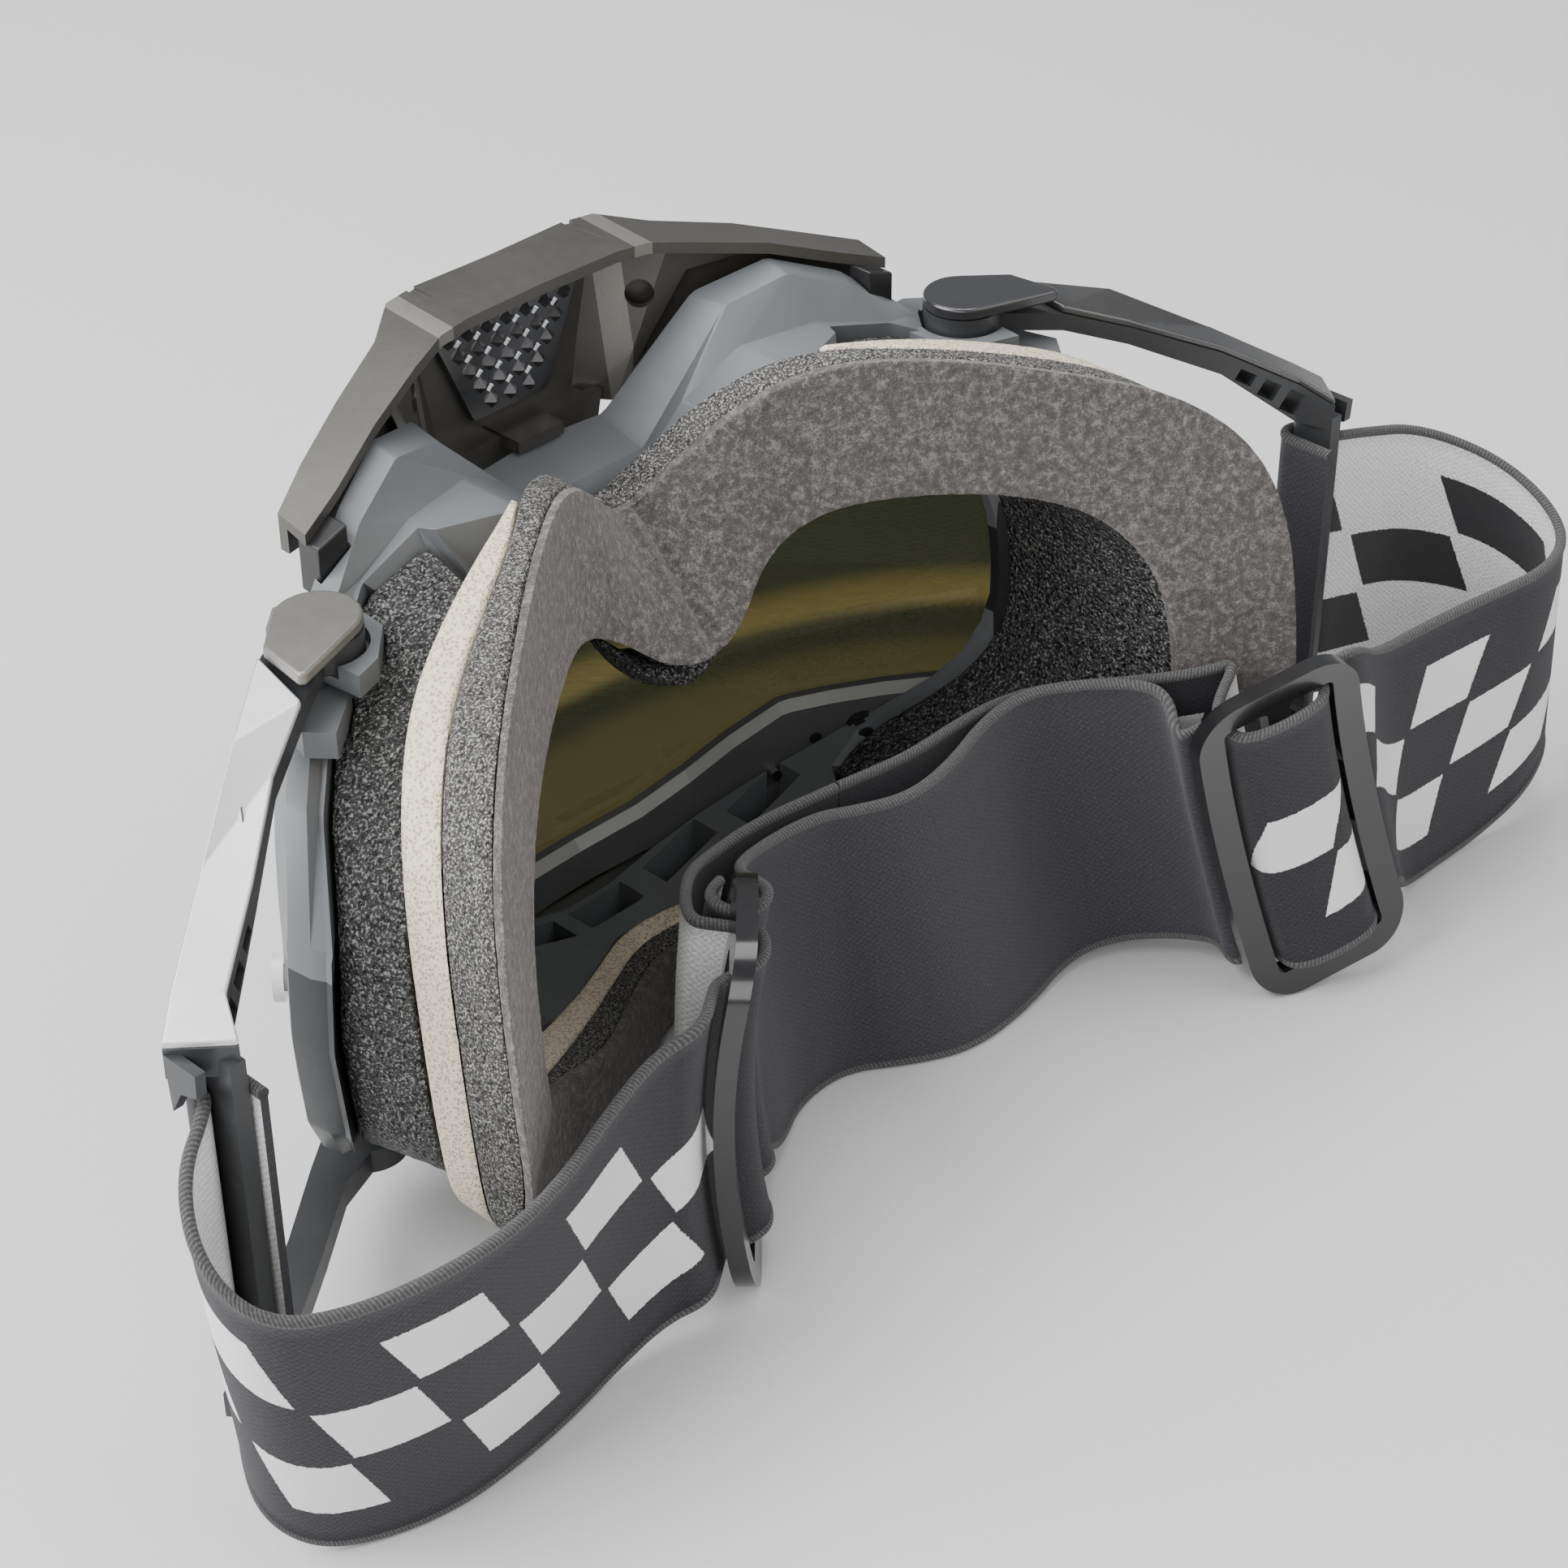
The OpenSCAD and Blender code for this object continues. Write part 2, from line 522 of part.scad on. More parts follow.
// How much deeper than its root the upper arm is at each key
arm_extra = [0, 0, 0, 0.8, 3.4, 1.4];
low_root_top = low_root_z + root_t;
low_arm = [[60, 2.2, low_root_top, 60, -6.4, low_root_top], [68, -4, 14.6, 67, -9.5, 14.6],
           [80, -14.5, 17, 78, -19, 17], [92, -23, 17, 89.5, -27.5, 17], [102.2, -29.6, 17, 97.6, -36.4, 17]];
corner_x = 102.8;
corner_t = 1.4;
arm_deck = 1.4;
cover_drop = cover_t + touch;

// An arm from its line of keys: the top lies down below the line, and the bottom lies depth below it
module arm_bar(keys, down, depth, turned = false) {
    bar([for (i = [0:len(keys) - 1]) let (k = keys[i], t = depth[i])
        [[k[0], k[1], k[2] - down], [k[3], k[4], k[5] - down], [k[3], k[4], k[5] - t],
         [k[0], k[1], k[2] - t]]],
        turned);
}

module outrigger() {
    difference() {
        union() {
            pivot_at(root_top - root_t) cylinder(r = root_r, h = root_t);
            pivot_at(low_root_z) cylinder(r = root_r, h = root_t);
            difference() {
                arm_bar(arm, cover_drop, [for (d = arm_extra) root_t + d]);
                for (t = [0.3, 0.6, 0.9]) arm_pocket(t);
            }
            arm_bar(low_arm, 0, [for (k = low_arm) root_t]);
            strap_post();
            // Corner that turns down outside the strap
            translate([corner_x, 0, post_high]) rotate([90, 0, 90]) linear_extrude(corner_t)
                polygon([[-30, 0.6], [-35.6, 0.6], [-35.4, -2.6], [-32.5, -3.6], [-30.6, -7]]);
        }
        pivot_at(0) cylinder(r = pin_r + pin_gap, h = above_all);
    }
}

// An open pocket of the lattice under the outer stretch of the upper arm
module arm_pocket(t) {
    a = arm[3] * (1 - t) + arm[4] * t;
    h = 1.2 + 2.4 * t;
    translate([(a[0] + a[3]) / 2, (a[1] + a[4]) / 2, (a[2] + a[5]) / 2 - cover_drop - arm_deck - h / 2])
        rotate([0, 0, -34]) rotate([0, 29, 0]) cube([2.8, 14, h], center = true);
}

// The post, with a round front that the strap turns on
post_front = post_mid[1] + post_depth / 2 - post_t / 2;
module strap_post() {
    translate([post_mid[0] - post_t / 2, post_mid[1] - post_depth / 2, post_low])
        cube([post_t, post_depth - post_t / 2, post_high - post_low]);
    translate([post_mid[0], post_front, post_low]) cylinder(r = post_t / 2, h = post_high - post_low);
}

module outrigger_right() color("dimgray") place() outrigger();

module outrigger_left() color("dimgray") place() mirror([1, 0, 0]) outrigger();

module arm_cover() arm_bar([for (i = [1:len(arm) - 1]) arm[i]], 0, [for (k = arm) cover_t], true);

module arm_cover_right() color("dimgray") place() arm_cover();

module arm_cover_left() color("silver") place() mirror([1, 0, 0]) arm_cover();

module outrigger_cap() pivot_at(root_top + touch) linear_extrude(cap_t) hull() {
    circle(r = root_r, $fn = 32);
    for (p = [[8.2, -1.4], [9.1, -8.2]]) translate(p) circle(r = 0.8, $fn = 16);
}

module outrigger_cap_right() color("black") place() outrigger_cap();

module outrigger_cap_left() color("black") place() mirror([1, 0, 0]) outrigger_cap();

module pivot_pins() color("silver") place() pair() {
    pivot_at(root_top - root_t - pin_sink) cylinder(r = pin_r, h = root_t + pin_sink);
    pivot_at(low_root_z) cylinder(r = pin_r, h = root_t + pin_sink);
}

// The strap's end is folded round the front of the post
loop_gap = 0.3;
loop_tail = 1;
module strap_loop() {
    r = post_t / 2 + loop_gap;
    translate([post_mid[0], post_front, strap_low]) linear_extrude(strap_w) {
        difference() {
            circle(r = r + strap_t);
            circle(r = r);
            translate([-10, -20]) square([20, 20]);
        }
        translate([-r - strap_t, -post_depth - 1]) square([strap_t, post_depth + 1]);
        translate([r, -loop_tail]) square([strap_t, loop_tail]);
    }
}

module strap_loop_right() color("#2b2930") place() strap_loop();

module strap_loop_left() color("#2b2930") place() mirror([1, 0, 0]) strap_loop();

// Sliders: [x, y, lift, turn, tilt] of the foot of each
slider_1 = [-30, -41, 0, 44, 0];
slider_2 = [71, -62, 2.2, -23, -16];
slider_h = strap_w + slider_play + 2 * slider_bar;
slider_round = 7;

module slider() {
    mid_z = slider_h / 2;
    intersection() {
        translate([0, -slider_bow_r, mid_z]) rotate([0, 90, 0]) difference() {
            cylinder(r = slider_bow_r + slider_t / 2, h = slider_w + 2, center = true, $fn = 240);
            cylinder(r = slider_bow_r - slider_t / 2, h = slider_w + 4, center = true, $fn = 240);
        }
        translate([0, slider_t, 0]) rotate([90, 0, 0]) linear_extrude(4 * slider_t) difference() {
            slider_outline(slider_w, 0, slider_h, slider_round);
            for (side = [-1, 1]) translate([side * slot_middle, 0])
                slider_outline(slot_length, slider_bar, slider_h - slider_bar, 1);
        }
    }
}

centre_bar = 3.4;
slot_length = slider_w / 2 - slider_bar - centre_bar / 2;
slot_middle = centre_bar / 2 + slot_length / 2;

// An upright outline with round corners
module slider_outline(w, low, high, r) {
    for (x = [-1, 1]) for (z = [low + r, high - r]) translate([x * (w / 2 - r), z]) circle(r = r);
    translate([-w / 2 + r, low]) square([w - 2 * r, high - low]);
    translate([-w / 2, low + r]) square([w, high - low - 2 * r]);
}

module stand(s) {
    translate([s[0], s[1], s[2]]) rotate([0, 0, s[3]]) rotate([0, s[4], 0]) children();
}

module slider_left() color("black") place() stand(slider_1) slider();

module slider_right() color("black") place() stand(slider_2) slider();

// A point on a slider: along it, out of it towards its front, and up it
function on_slider(s, along, out, up) =
    let (x = along * cos(s[4]) + up * sin(s[4]), z = up * cos(s[4]) - along * sin(s[4]))
    [s[0] + x * cos(s[3]) + out * sin(s[3]), s[1] + x * sin(s[3]) - out * cos(s[3]), s[2] + z];
strap_up = slider_bar + slider_play / 2;
strap_sag = pow(strap_w / 2, 2) / (2 * slider_bow_r);
// A strap key is its lower edge, its upper edge and the shift of its middle in plan
function key(b, t, shift = [0, 0]) = concat(b, t, shift);
function slider_key(s, along, out) =
    let (m = on_slider(s, 0, -strap_sag, 0) - on_slider(s, 0, 0, 0))
    key(on_slider(s, along, out, strap_up), on_slider(s, along, out, strap_up + strap_w), [m[0], m[1]]);

module ribbon(keys) {
    path = soften(soften(keys));
    n = len(path);
    mid = [for (k = path) [(k[0] + k[3]) / 2, (k[1] + k[4]) / 2]];
    side = [for (i = [0:n - 1]) let (t = unit(mid[min(n - 1, i + 1)] - mid[max(0, i - 1)])) [-t[1], t[0], 0]];
    h = strap_t / 2;
    bar([for (i = [0:n - 1]) let (k = path[i], b = [k[0], k[1], k[2]], t = [k[3], k[4], k[5]],
        m = (b + t) / 2 + [k[6], k[7], 0], s = side[i] * h) [b + s, m + s, t + s, t - s, m - s, b - s]]);
}

behind = strap_sag - 3.1;
over = strap_sag + 3.1;
loop_out = post_t / 2 + loop_gap + strap_t / 2;
loop_end = post_front - loop_tail - 0.1;
// A strap key behind a post, back by some way and up by some way
function post_key(side, back, up) =
    let (x = side * (post_mid[0] + loop_out), y = loop_end - back, z = strap_low + up)
    key([x, y, z], [x, y, z + strap_w]);
left_keys = [
    post_key(-1, 0, 0), post_key(-1, 1.5, -1),
    key([-104, -36, 14], [-106, -38, 60.5]), key([-105, -39.5, 6.5], [-110.5, -45, 54]),
    key([-101, -43.5, 1], [-108, -51, 47.5]), key([-94, -47.5, 0], [-100, -54, 45]),
    key([-85, -50, 0], [-88, -56.5, 45]), key([-76, -50, 0], [-78, -56.5, 45]),
    key([-66, -49, 0], [-68, -54, 45]),
    key([-57, -47.5, 0.5], [-57.5, -50, 45.5]), key([-48, -47.5, 2.5], [-49, -48.5, 47.5]),
    slider_key(slider_1, -16, behind - 1), slider_key(slider_1, -10, behind),
    slider_key(slider_1, -7.2, behind + 0.5),
    slider_key(slider_1, -3.6, over - 0.2), slider_key(slider_1, 0.3, over + 0.3),
    slider_key(slider_1, 3.2, over - 0.7), slider_key(slider_1, 4.2, behind + 0.6),
    slider_key(slider_1, 5.2, behind - 3.4),
    key([-20, -24, 2], [-20, -24.4, 46.5]), key([-12, -21.5, 0], [-12.5, -22, 45]),
    key([-4, -21.5, 0], [-4, -21.5, 45]), key([9, -24, 0], [9, -23.5, 45])];
right_keys = [
    post_key(1, 0, 0), post_key(1, 2.5, 0),
    key([109, -34.5, 18], [109.5, -34.5, 62.5]), key([120, -36, 16], [120, -37, 60]),
    key([129.5, -43, 14.5], [127.5, -46, 55.5]), key([133, -52, 12.5], [128.5, -55, 51]),
    key([130.5, -59.5, 9.5], [125, -61, 48]), key([122, -62, 5], [118, -62, 46.3]),
    key([112, -60.5, 1], [108, -59, 45.3]), key([102, -59.5, 0], [96, -57, 45]),
    key([92, -60, 1], [84, -56.5, 45.5]),
    slider_key(slider_2, 15, behind - 0.4), slider_key(slider_2, 10, behind),
    slider_key(slider_2, 7.2, behind + 0.5),
    slider_key(slider_2, 3.6, over - 0.2), slider_key(slider_2, -0.3, over + 0.3),
    slider_key(slider_2, -3.2, over - 0.7), slider_key(slider_2, -4, behind + 0.5),
    slider_key(slider_2, -3.4, behind - 3), slider_key(slider_2, 1, behind - 9),
    key([68.5, -50, 4], [61, -45.5, 49]), key([64, -45.2, 2.5], [57, -41.8, 48]),
    key([58, -38.8, 1], [51.2, -35.6, 47]),
    key([50, -33, 0], [46, -29.5, 46]), key([41, -32, 0], [40, -25.5, 45]), key([31, -33.5, 0], [31, -25, 45]),
    key([21, -33, 0], [21, -25.5, 45]), key([9.4, -24, 0], [9.4, -23.5, 45])];
// The hem of the middle strap goes round the outer bar of each slider
hem_r = 3.8;
bar_middle = (slider_w - slider_bar) / 2;
function hem(s, side, turns) = [for (a = turns)
    slider_key(s, side * bar_middle + hem_r * cos(a), strap_sag + hem_r * sin(a))];
middle_keys = concat(hem(slider_1, 1, [320, 275, 230, 185, 140, 95, 50]),
    [key([-13, -34, 1.5], [-15, -28, 46.5]), key([-4, -28.5, 0], [-8, -25.4, 45]),
     key([6, -28, 0], [2, -26, 45]), key([14, -34, 0], [7, -29, 45]), key([22, -38, 0], [14, -32, 45]),
     key([34, -37.5, 0], [23, -31, 45]), key([45, -35.3, 1], [34, -28, 46]),
     key([52, -37.5, 2], [41.5, -28.8, 47]),
     key([57, -42.8, 3], [46.6, -33.6, 48]), key([60, -49, 4], [50.6, -39.5, 49]),
     key([60.5, -52, 4.5], [51.6, -45, 49.5])],
    hem(slider_2, -1, [-40, -85, -130, -175, -220, -265]));

module strap_left() color("#2b2930") place() ribbon(left_keys);

module strap_middle() color("#2b2930") place() ribbon(middle_keys);

module strap_right() color("#2b2930") place() ribbon(right_keys);

frame();
lens_carrier();
lens();
tear_off_posts();
carrier_snaps();
nose_guard();
guard_mesh();
guard_clips();
vent_foam_left();
vent_foam_right();
vent_foam_brow();
foam_beige();
foam_grey();
face_fleece();
nose_pad();
pivot_pins();
outrigger_left();
outrigger_right();
outrigger_cap_left();
outrigger_cap_right();
arm_cover_left();
arm_cover_right();
strap_loop_left();
strap_loop_right();
strap_left();
strap_middle();
strap_right();
slider_left();
slider_right();
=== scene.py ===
"""Looks of a pair of motocross goggles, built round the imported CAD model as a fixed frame."""

import json
import logging
import math
from collections.abc import Sequence
from dataclasses import dataclass, field
from enum import Enum
from typing import NamedTuple

import bmesh
import bpy
from mathutils import Matrix, Vector, noise


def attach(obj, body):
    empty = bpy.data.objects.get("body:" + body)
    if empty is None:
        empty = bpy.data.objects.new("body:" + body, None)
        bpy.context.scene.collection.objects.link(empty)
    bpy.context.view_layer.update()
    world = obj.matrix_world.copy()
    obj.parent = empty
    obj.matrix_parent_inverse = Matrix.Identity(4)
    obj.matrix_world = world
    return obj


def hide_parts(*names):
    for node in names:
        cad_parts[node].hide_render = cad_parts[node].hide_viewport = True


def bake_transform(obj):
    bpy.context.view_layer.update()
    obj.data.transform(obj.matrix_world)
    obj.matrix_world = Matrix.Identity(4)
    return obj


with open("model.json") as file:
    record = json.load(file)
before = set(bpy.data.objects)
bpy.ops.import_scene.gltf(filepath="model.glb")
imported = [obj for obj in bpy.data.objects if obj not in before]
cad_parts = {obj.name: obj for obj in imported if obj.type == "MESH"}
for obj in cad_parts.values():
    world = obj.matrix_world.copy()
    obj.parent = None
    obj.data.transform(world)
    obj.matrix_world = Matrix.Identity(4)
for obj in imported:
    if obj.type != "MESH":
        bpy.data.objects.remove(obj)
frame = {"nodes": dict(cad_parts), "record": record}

LOG = logging.getLogger("goggles")
MM = 0.001
DATUM_Y = 18.0
MERGE = 0.000004
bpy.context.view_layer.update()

Socket = bpy.types.NodeSocket
Material = bpy.types.Material
Piece = bpy.types.Object
Mesh = bmesh.types.BMesh
Triple = tuple[float, float, float]


class Side(Enum):
    """The two sides of the goggles, with the sign of X on each."""

    LEFT = -1
    RIGHT = 1

    @property
    def word(self) -> str:
        """The side's name as node and body names have it."""
        return self.name.lower()


class Face(Enum):
    """Which face of the webbing a polygon belongs to."""

    OUTER = 0
    INNER = 1
    HEM = 2


def toned(colour: Triple, gain: float, lift: float = 0.0) -> Triple:
    """A colour made lighter or darker.

    Args:
        colour: The colour.
        gain: What each channel is multiplied by.
        lift: What is then added.

    Returns:
        The new colour, at most white.
    """
    return tuple(min(1.0, channel * gain + lift) for channel in colour)


class Shader:
    """A node material around one Principled shader, with short ways to add nodes and links."""

    def __init__(self, name: str) -> None:
        """Starts an empty material of that name."""
        self.material = bpy.data.materials.new(name)
        self.material.use_nodes = True
        self.tree = self.material.node_tree
        self.tree.nodes.clear()
        out = self.add("ShaderNodeOutputMaterial")
        self.body = self.add("ShaderNodeBsdfPrincipled")
        self.link(self.body.outputs["BSDF"], out.inputs["Surface"])

    def add(self, kind: str, **settings: object) -> bpy.types.Node:
        """Adds a node.

        Args:
            kind: The node's type name.
            settings: Its properties.

        Returns:
            The new node.
        """
        node = self.tree.nodes.new(kind)
        for key, value in settings.items():
            setattr(node, key, value)
        return node

    def link(self, source: Socket, target: Socket) -> None:
        """Links an output to an input."""
        self.tree.links.new(source, target)

    def feed(self, socket: Socket, value: object) -> None:
        """Gives an input a socket, a colour or a number."""
        if isinstance(value, Socket):
            self.link(value, socket)
        else:
            socket.default_value = (*value, 1) if isinstance(value, tuple) else value

    def set(self, **values: object) -> None:
        """Feeds sockets of the Principled shader, named with underscores for spaces."""
        for key, value in values.items():
            self.feed(self.body.inputs[key.replace("_", " ")], value)

    def place(self, by: str = "Object") -> Socket:
        """The coordinates of a pattern, Object or UV."""
        return self.add("ShaderNodeTexCoord").outputs[by]

    def split(self, where: Socket) -> list[Socket]:
        """The X, Y and Z of a coordinate."""
        node = self.add("ShaderNodeSeparateXYZ")
        self.link(where, node.inputs[0])
        return list(node.outputs)

    def noise(self, where: Socket, scale: float, detail: float = 2.0, rough: float = 0.5) -> Socket:
        """A noise pattern.

        Args:
            where: Coordinates of the pattern.
            scale: Grains to a metre.
            detail: Octaves.
            rough: Share of the finer octaves.

        Returns:
            The factor from 0 to 1.
        """
        node = self.add("ShaderNodeTexNoise")
        self.link(where, node.inputs["Vector"])
        node.inputs["Scale"].default_value = scale
        node.inputs["Detail"].default_value = detail
        node.inputs["Roughness"].default_value = rough
        return node.outputs["Fac"]

    def cells(self, where: Socket, scale: float) -> Socket:
        """A cell pattern.

        Args:
            where: Coordinates of the pattern.
            scale: Cells to a metre.

        Returns:
            The distance to the middle of the nearest cell.
        """
        node = self.add("ShaderNodeTexVoronoi", feature="F1")
        self.link(where, node.inputs["Vector"])
        node.inputs["Scale"].default_value = scale
        return node.outputs["Distance"]

    def math(self, operation: str, a: object, b: object = 0.0, c: object = 0.0) -> Socket:
        """A sum of one, two or three numbers or sockets.

        Args:
            operation: Blender's name of the sum.
            a: First value.
            b: Second value.
            c: Third value.

        Returns:
            The result.
        """
        node = self.add("ShaderNodeMath", operation=operation)
        for socket, value in zip(node.inputs, (a, b, c)):
            self.feed(socket, value)
        return node.outputs[0]

    def ramp(self, value: Socket, stops: Sequence[tuple[float, Triple]]) -> Socket:
        """A ramp of colours.

        Args:
            value: What picks the colour, from 0 to 1.
            stops: Places and colours.

        Returns:
            The colour.
        """
        node = self.add("ShaderNodeValToRGB")
        ramp = node.color_ramp
        while len(ramp.elements) < len(stops):
            ramp.elements.new(0.5)
        for element, (place, colour) in zip(ramp.elements, stops):
            element.position = place
            element.color = (*colour, 1)
        self.link(value, node.inputs["Fac"])
        return node.outputs["Color"]

    def mix(self, share: object, a: object, b: object) -> Socket:
        """A mix of two colours.

        Args:
            share: Share of the second colour.
            a: First colour or socket.
            b: Second colour or socket.

        Returns:
            The mixed colour.
        """
        node = self.add("ShaderNodeMix", data_type="RGBA")
        for socket, value in ((node.inputs[0], share), (node.inputs[6], a), (node.inputs[7], b)):
            self.feed(socket, value)
        return node.outputs[2]

    def bump(self, height: Socket, depth: float, strength: float = 1.0) -> None:
        """Raises the surface by a pattern.

        Args:
            height: The pattern.
            depth: Metres from its low to its high places.
            strength: How much of it shows.
        """
        node = self.add("ShaderNodeBump")
        node.inputs["Distance"].default_value = depth
        node.inputs["Strength"].default_value = strength
        self.link(height, node.inputs["Height"])
        normal = self.body.inputs["Normal"]
        if normal.is_linked:
            self.link(normal.links[0].from_socket, node.inputs["Normal"])
        self.link(node.outputs["Normal"], normal)


@dataclass(frozen=True)
class Moulded:
    """Moulded plastic with a fine spark-eroded grain and faint handling marks, which can carry a
    painted highlight band and painted shade low on the temple sides.
    """

    CLOUD = 60.0
    SCUFF = 420.0
    SCUFF_SPREAD = 0.22
    COAT_ROUGH = 0.12
    TEMPLE = 0.16

    name: str
    colour: Triple
    rough: float = 0.45
    metallic: float = 0.0
    grain: float = 0.00003
    grain_scale: float = 4200.0
    coat: float = 0.0
    light_band: tuple[float, float] | None = None
    dark_below: float = 0.0
    dark_beyond: float = 60.0

    def build(self) -> Material:
        """Makes the material."""
        s = Shader(self.name)
        place = s.place()
        cloud = s.noise(place, self.CLOUD, 3)
        colour = s.mix(cloud, toned(self.colour, 0.85), toned(self.colour, 1.25, 0.005))
        # Painted highlight: a band out from the middle, on the guard's ridge bars, is made much
        # lighter where the light catches it.
        if self.light_band:
            low, high = self.light_band
            x = s.math("ABSOLUTE", s.split(place)[0])
            band = s.math("COMPARE", x, (low + high) / 2 * MM, (high - low) / 2 * MM)
            colour = s.mix(band, colour, toned(self.colour, 2.2, 0.03))
        # Painted shade: low down and far out at the temples the colour is darkened, where shadow
        # falls.
        if self.dark_below:
            x, _, z = s.split(place)
            below = s.math("LESS_THAN", z, self.dark_below * MM)
            beyond = s.math("GREATER_THAN", s.math("ABSOLUTE", x), self.dark_beyond * MM)
            temple = s.math("MULTIPLY", below, beyond)
            colour = s.mix(temple, colour, toned(self.colour, self.TEMPLE))
        scuff = s.noise(place, self.SCUFF, 4, 0.7)
        rough = s.math("MULTIPLY_ADD", scuff, self.SCUFF_SPREAD, self.rough - self.SCUFF_SPREAD / 2)
        s.set(Base_Color=colour, Roughness=rough, Metallic=self.metallic, Coat_Weight=self.coat,
              Coat_Roughness=self.COAT_ROUGH)
        s.bump(s.noise(place, self.grain_scale, 2), self.grain, 0.6)
        return s.material


@dataclass(frozen=True)
class Foam:
    """Cut foam with open cells and flecks; on the black vent foam the bright flecks are painted
    glints.
    """

    CLOUD = 45.0
    DRIFT = 0.8
    DRIFT_SCALE = 0.6
    SMALL_CELLS = 2.6
    FLECKS = 2.2

    name: str
    colour: Triple
    cell: float
    depth: float
    fleck: Triple
    fleck_share: float = 0.3
    rough: float = 0.95

    def build(self) -> Material:
        """Makes the material."""
        s = Shader(self.name)
        place = s.place()
        where = self.drifted(s, place)
        pit = s.cells(where, 1 / self.cell)
        deep = s.ramp(pit, [(0.12, (0, 0, 0)), (0.55, (1, 1, 1))])
        small = s.cells(where, self.SMALL_CELLS / self.cell)
        first, full = 0.64 - self.fleck_share * 0.3, 0.72 - self.fleck_share * 0.2
        fleck = s.ramp(s.noise(place, self.FLECKS / self.cell, 3, 0.7),
                       [(first, (0, 0, 0)), (full, (1, 1, 1))])
        colour = s.mix(deep, toned(self.colour, 0.35), self.colour)
        colour = s.mix(s.math("MULTIPLY", fleck, 0.8), colour, self.fleck)
        cloud = s.noise(place, self.CLOUD, 3)
        colour = s.mix(s.math("MULTIPLY", cloud, 0.3), colour, toned(self.colour, 0.7))
        s.set(Base_Color=colour, Roughness=self.rough, Specular_IOR_Level=0.25)
        height = s.math("ADD", deep, s.math("MULTIPLY", small, 0.5))
        s.bump(height, self.depth, 0.9)
        return s.material

    def drifted(self, s: Shader, place: Socket) -> Socket:
        """Coordinates that wander, so that the cells aren't even."""
        wander = s.add("ShaderNodeVectorMath", operation="MULTIPLY_ADD")
        drift = s.add("ShaderNodeTexNoise")
        s.link(place, drift.inputs["Vector"])
        drift.inputs["Scale"].default_value = self.DRIFT_SCALE / self.cell
        s.link(drift.outputs["Color"], wander.inputs[0])
        wander.inputs[1].default_value = (self.cell * self.DRIFT,) * 3
        s.link(place, wander.inputs[2])
        return wander.outputs[0]


@dataclass(frozen=True)
class Fleece:
    """Short brushed pile that lies in tufts."""

    CLOUD = 55.0
    TUFT = 900.0
    FIBRE = 3800.0
    DEPTH = 0.0006

    name: str
    colour: Triple
    tip: Triple

    def build(self) -> Material:
        """Makes the material."""
        s = Shader(self.name)
        place = s.place()
        tuft = s.noise(place, self.TUFT, 3, 0.65)
        fibre = s.noise(place, self.FIBRE, 2, 0.6)
        pile = s.math("ADD", s.math("MULTIPLY", tuft, 0.7), s.math("MULTIPLY", fibre, 0.5))
        stops = [(0.42, toned(self.colour, 0.45)), (0.6, self.colour), (0.78, self.tip)]
        cloud = s.math("MULTIPLY", s.noise(place, self.CLOUD, 3), 0.35)
        colour = s.mix(cloud, s.ramp(pile, stops), toned(self.colour, 0.7))
        s.set(Base_Color=colour, Roughness=0.95, Sheen_Weight=0.35, Sheen_Roughness=0.5,
              Sheen_Tint=(0.75, 0.7, 0.68), Specular_IOR_Level=0.2)
        s.bump(pile, self.DEPTH, 0.8)
        return s.material


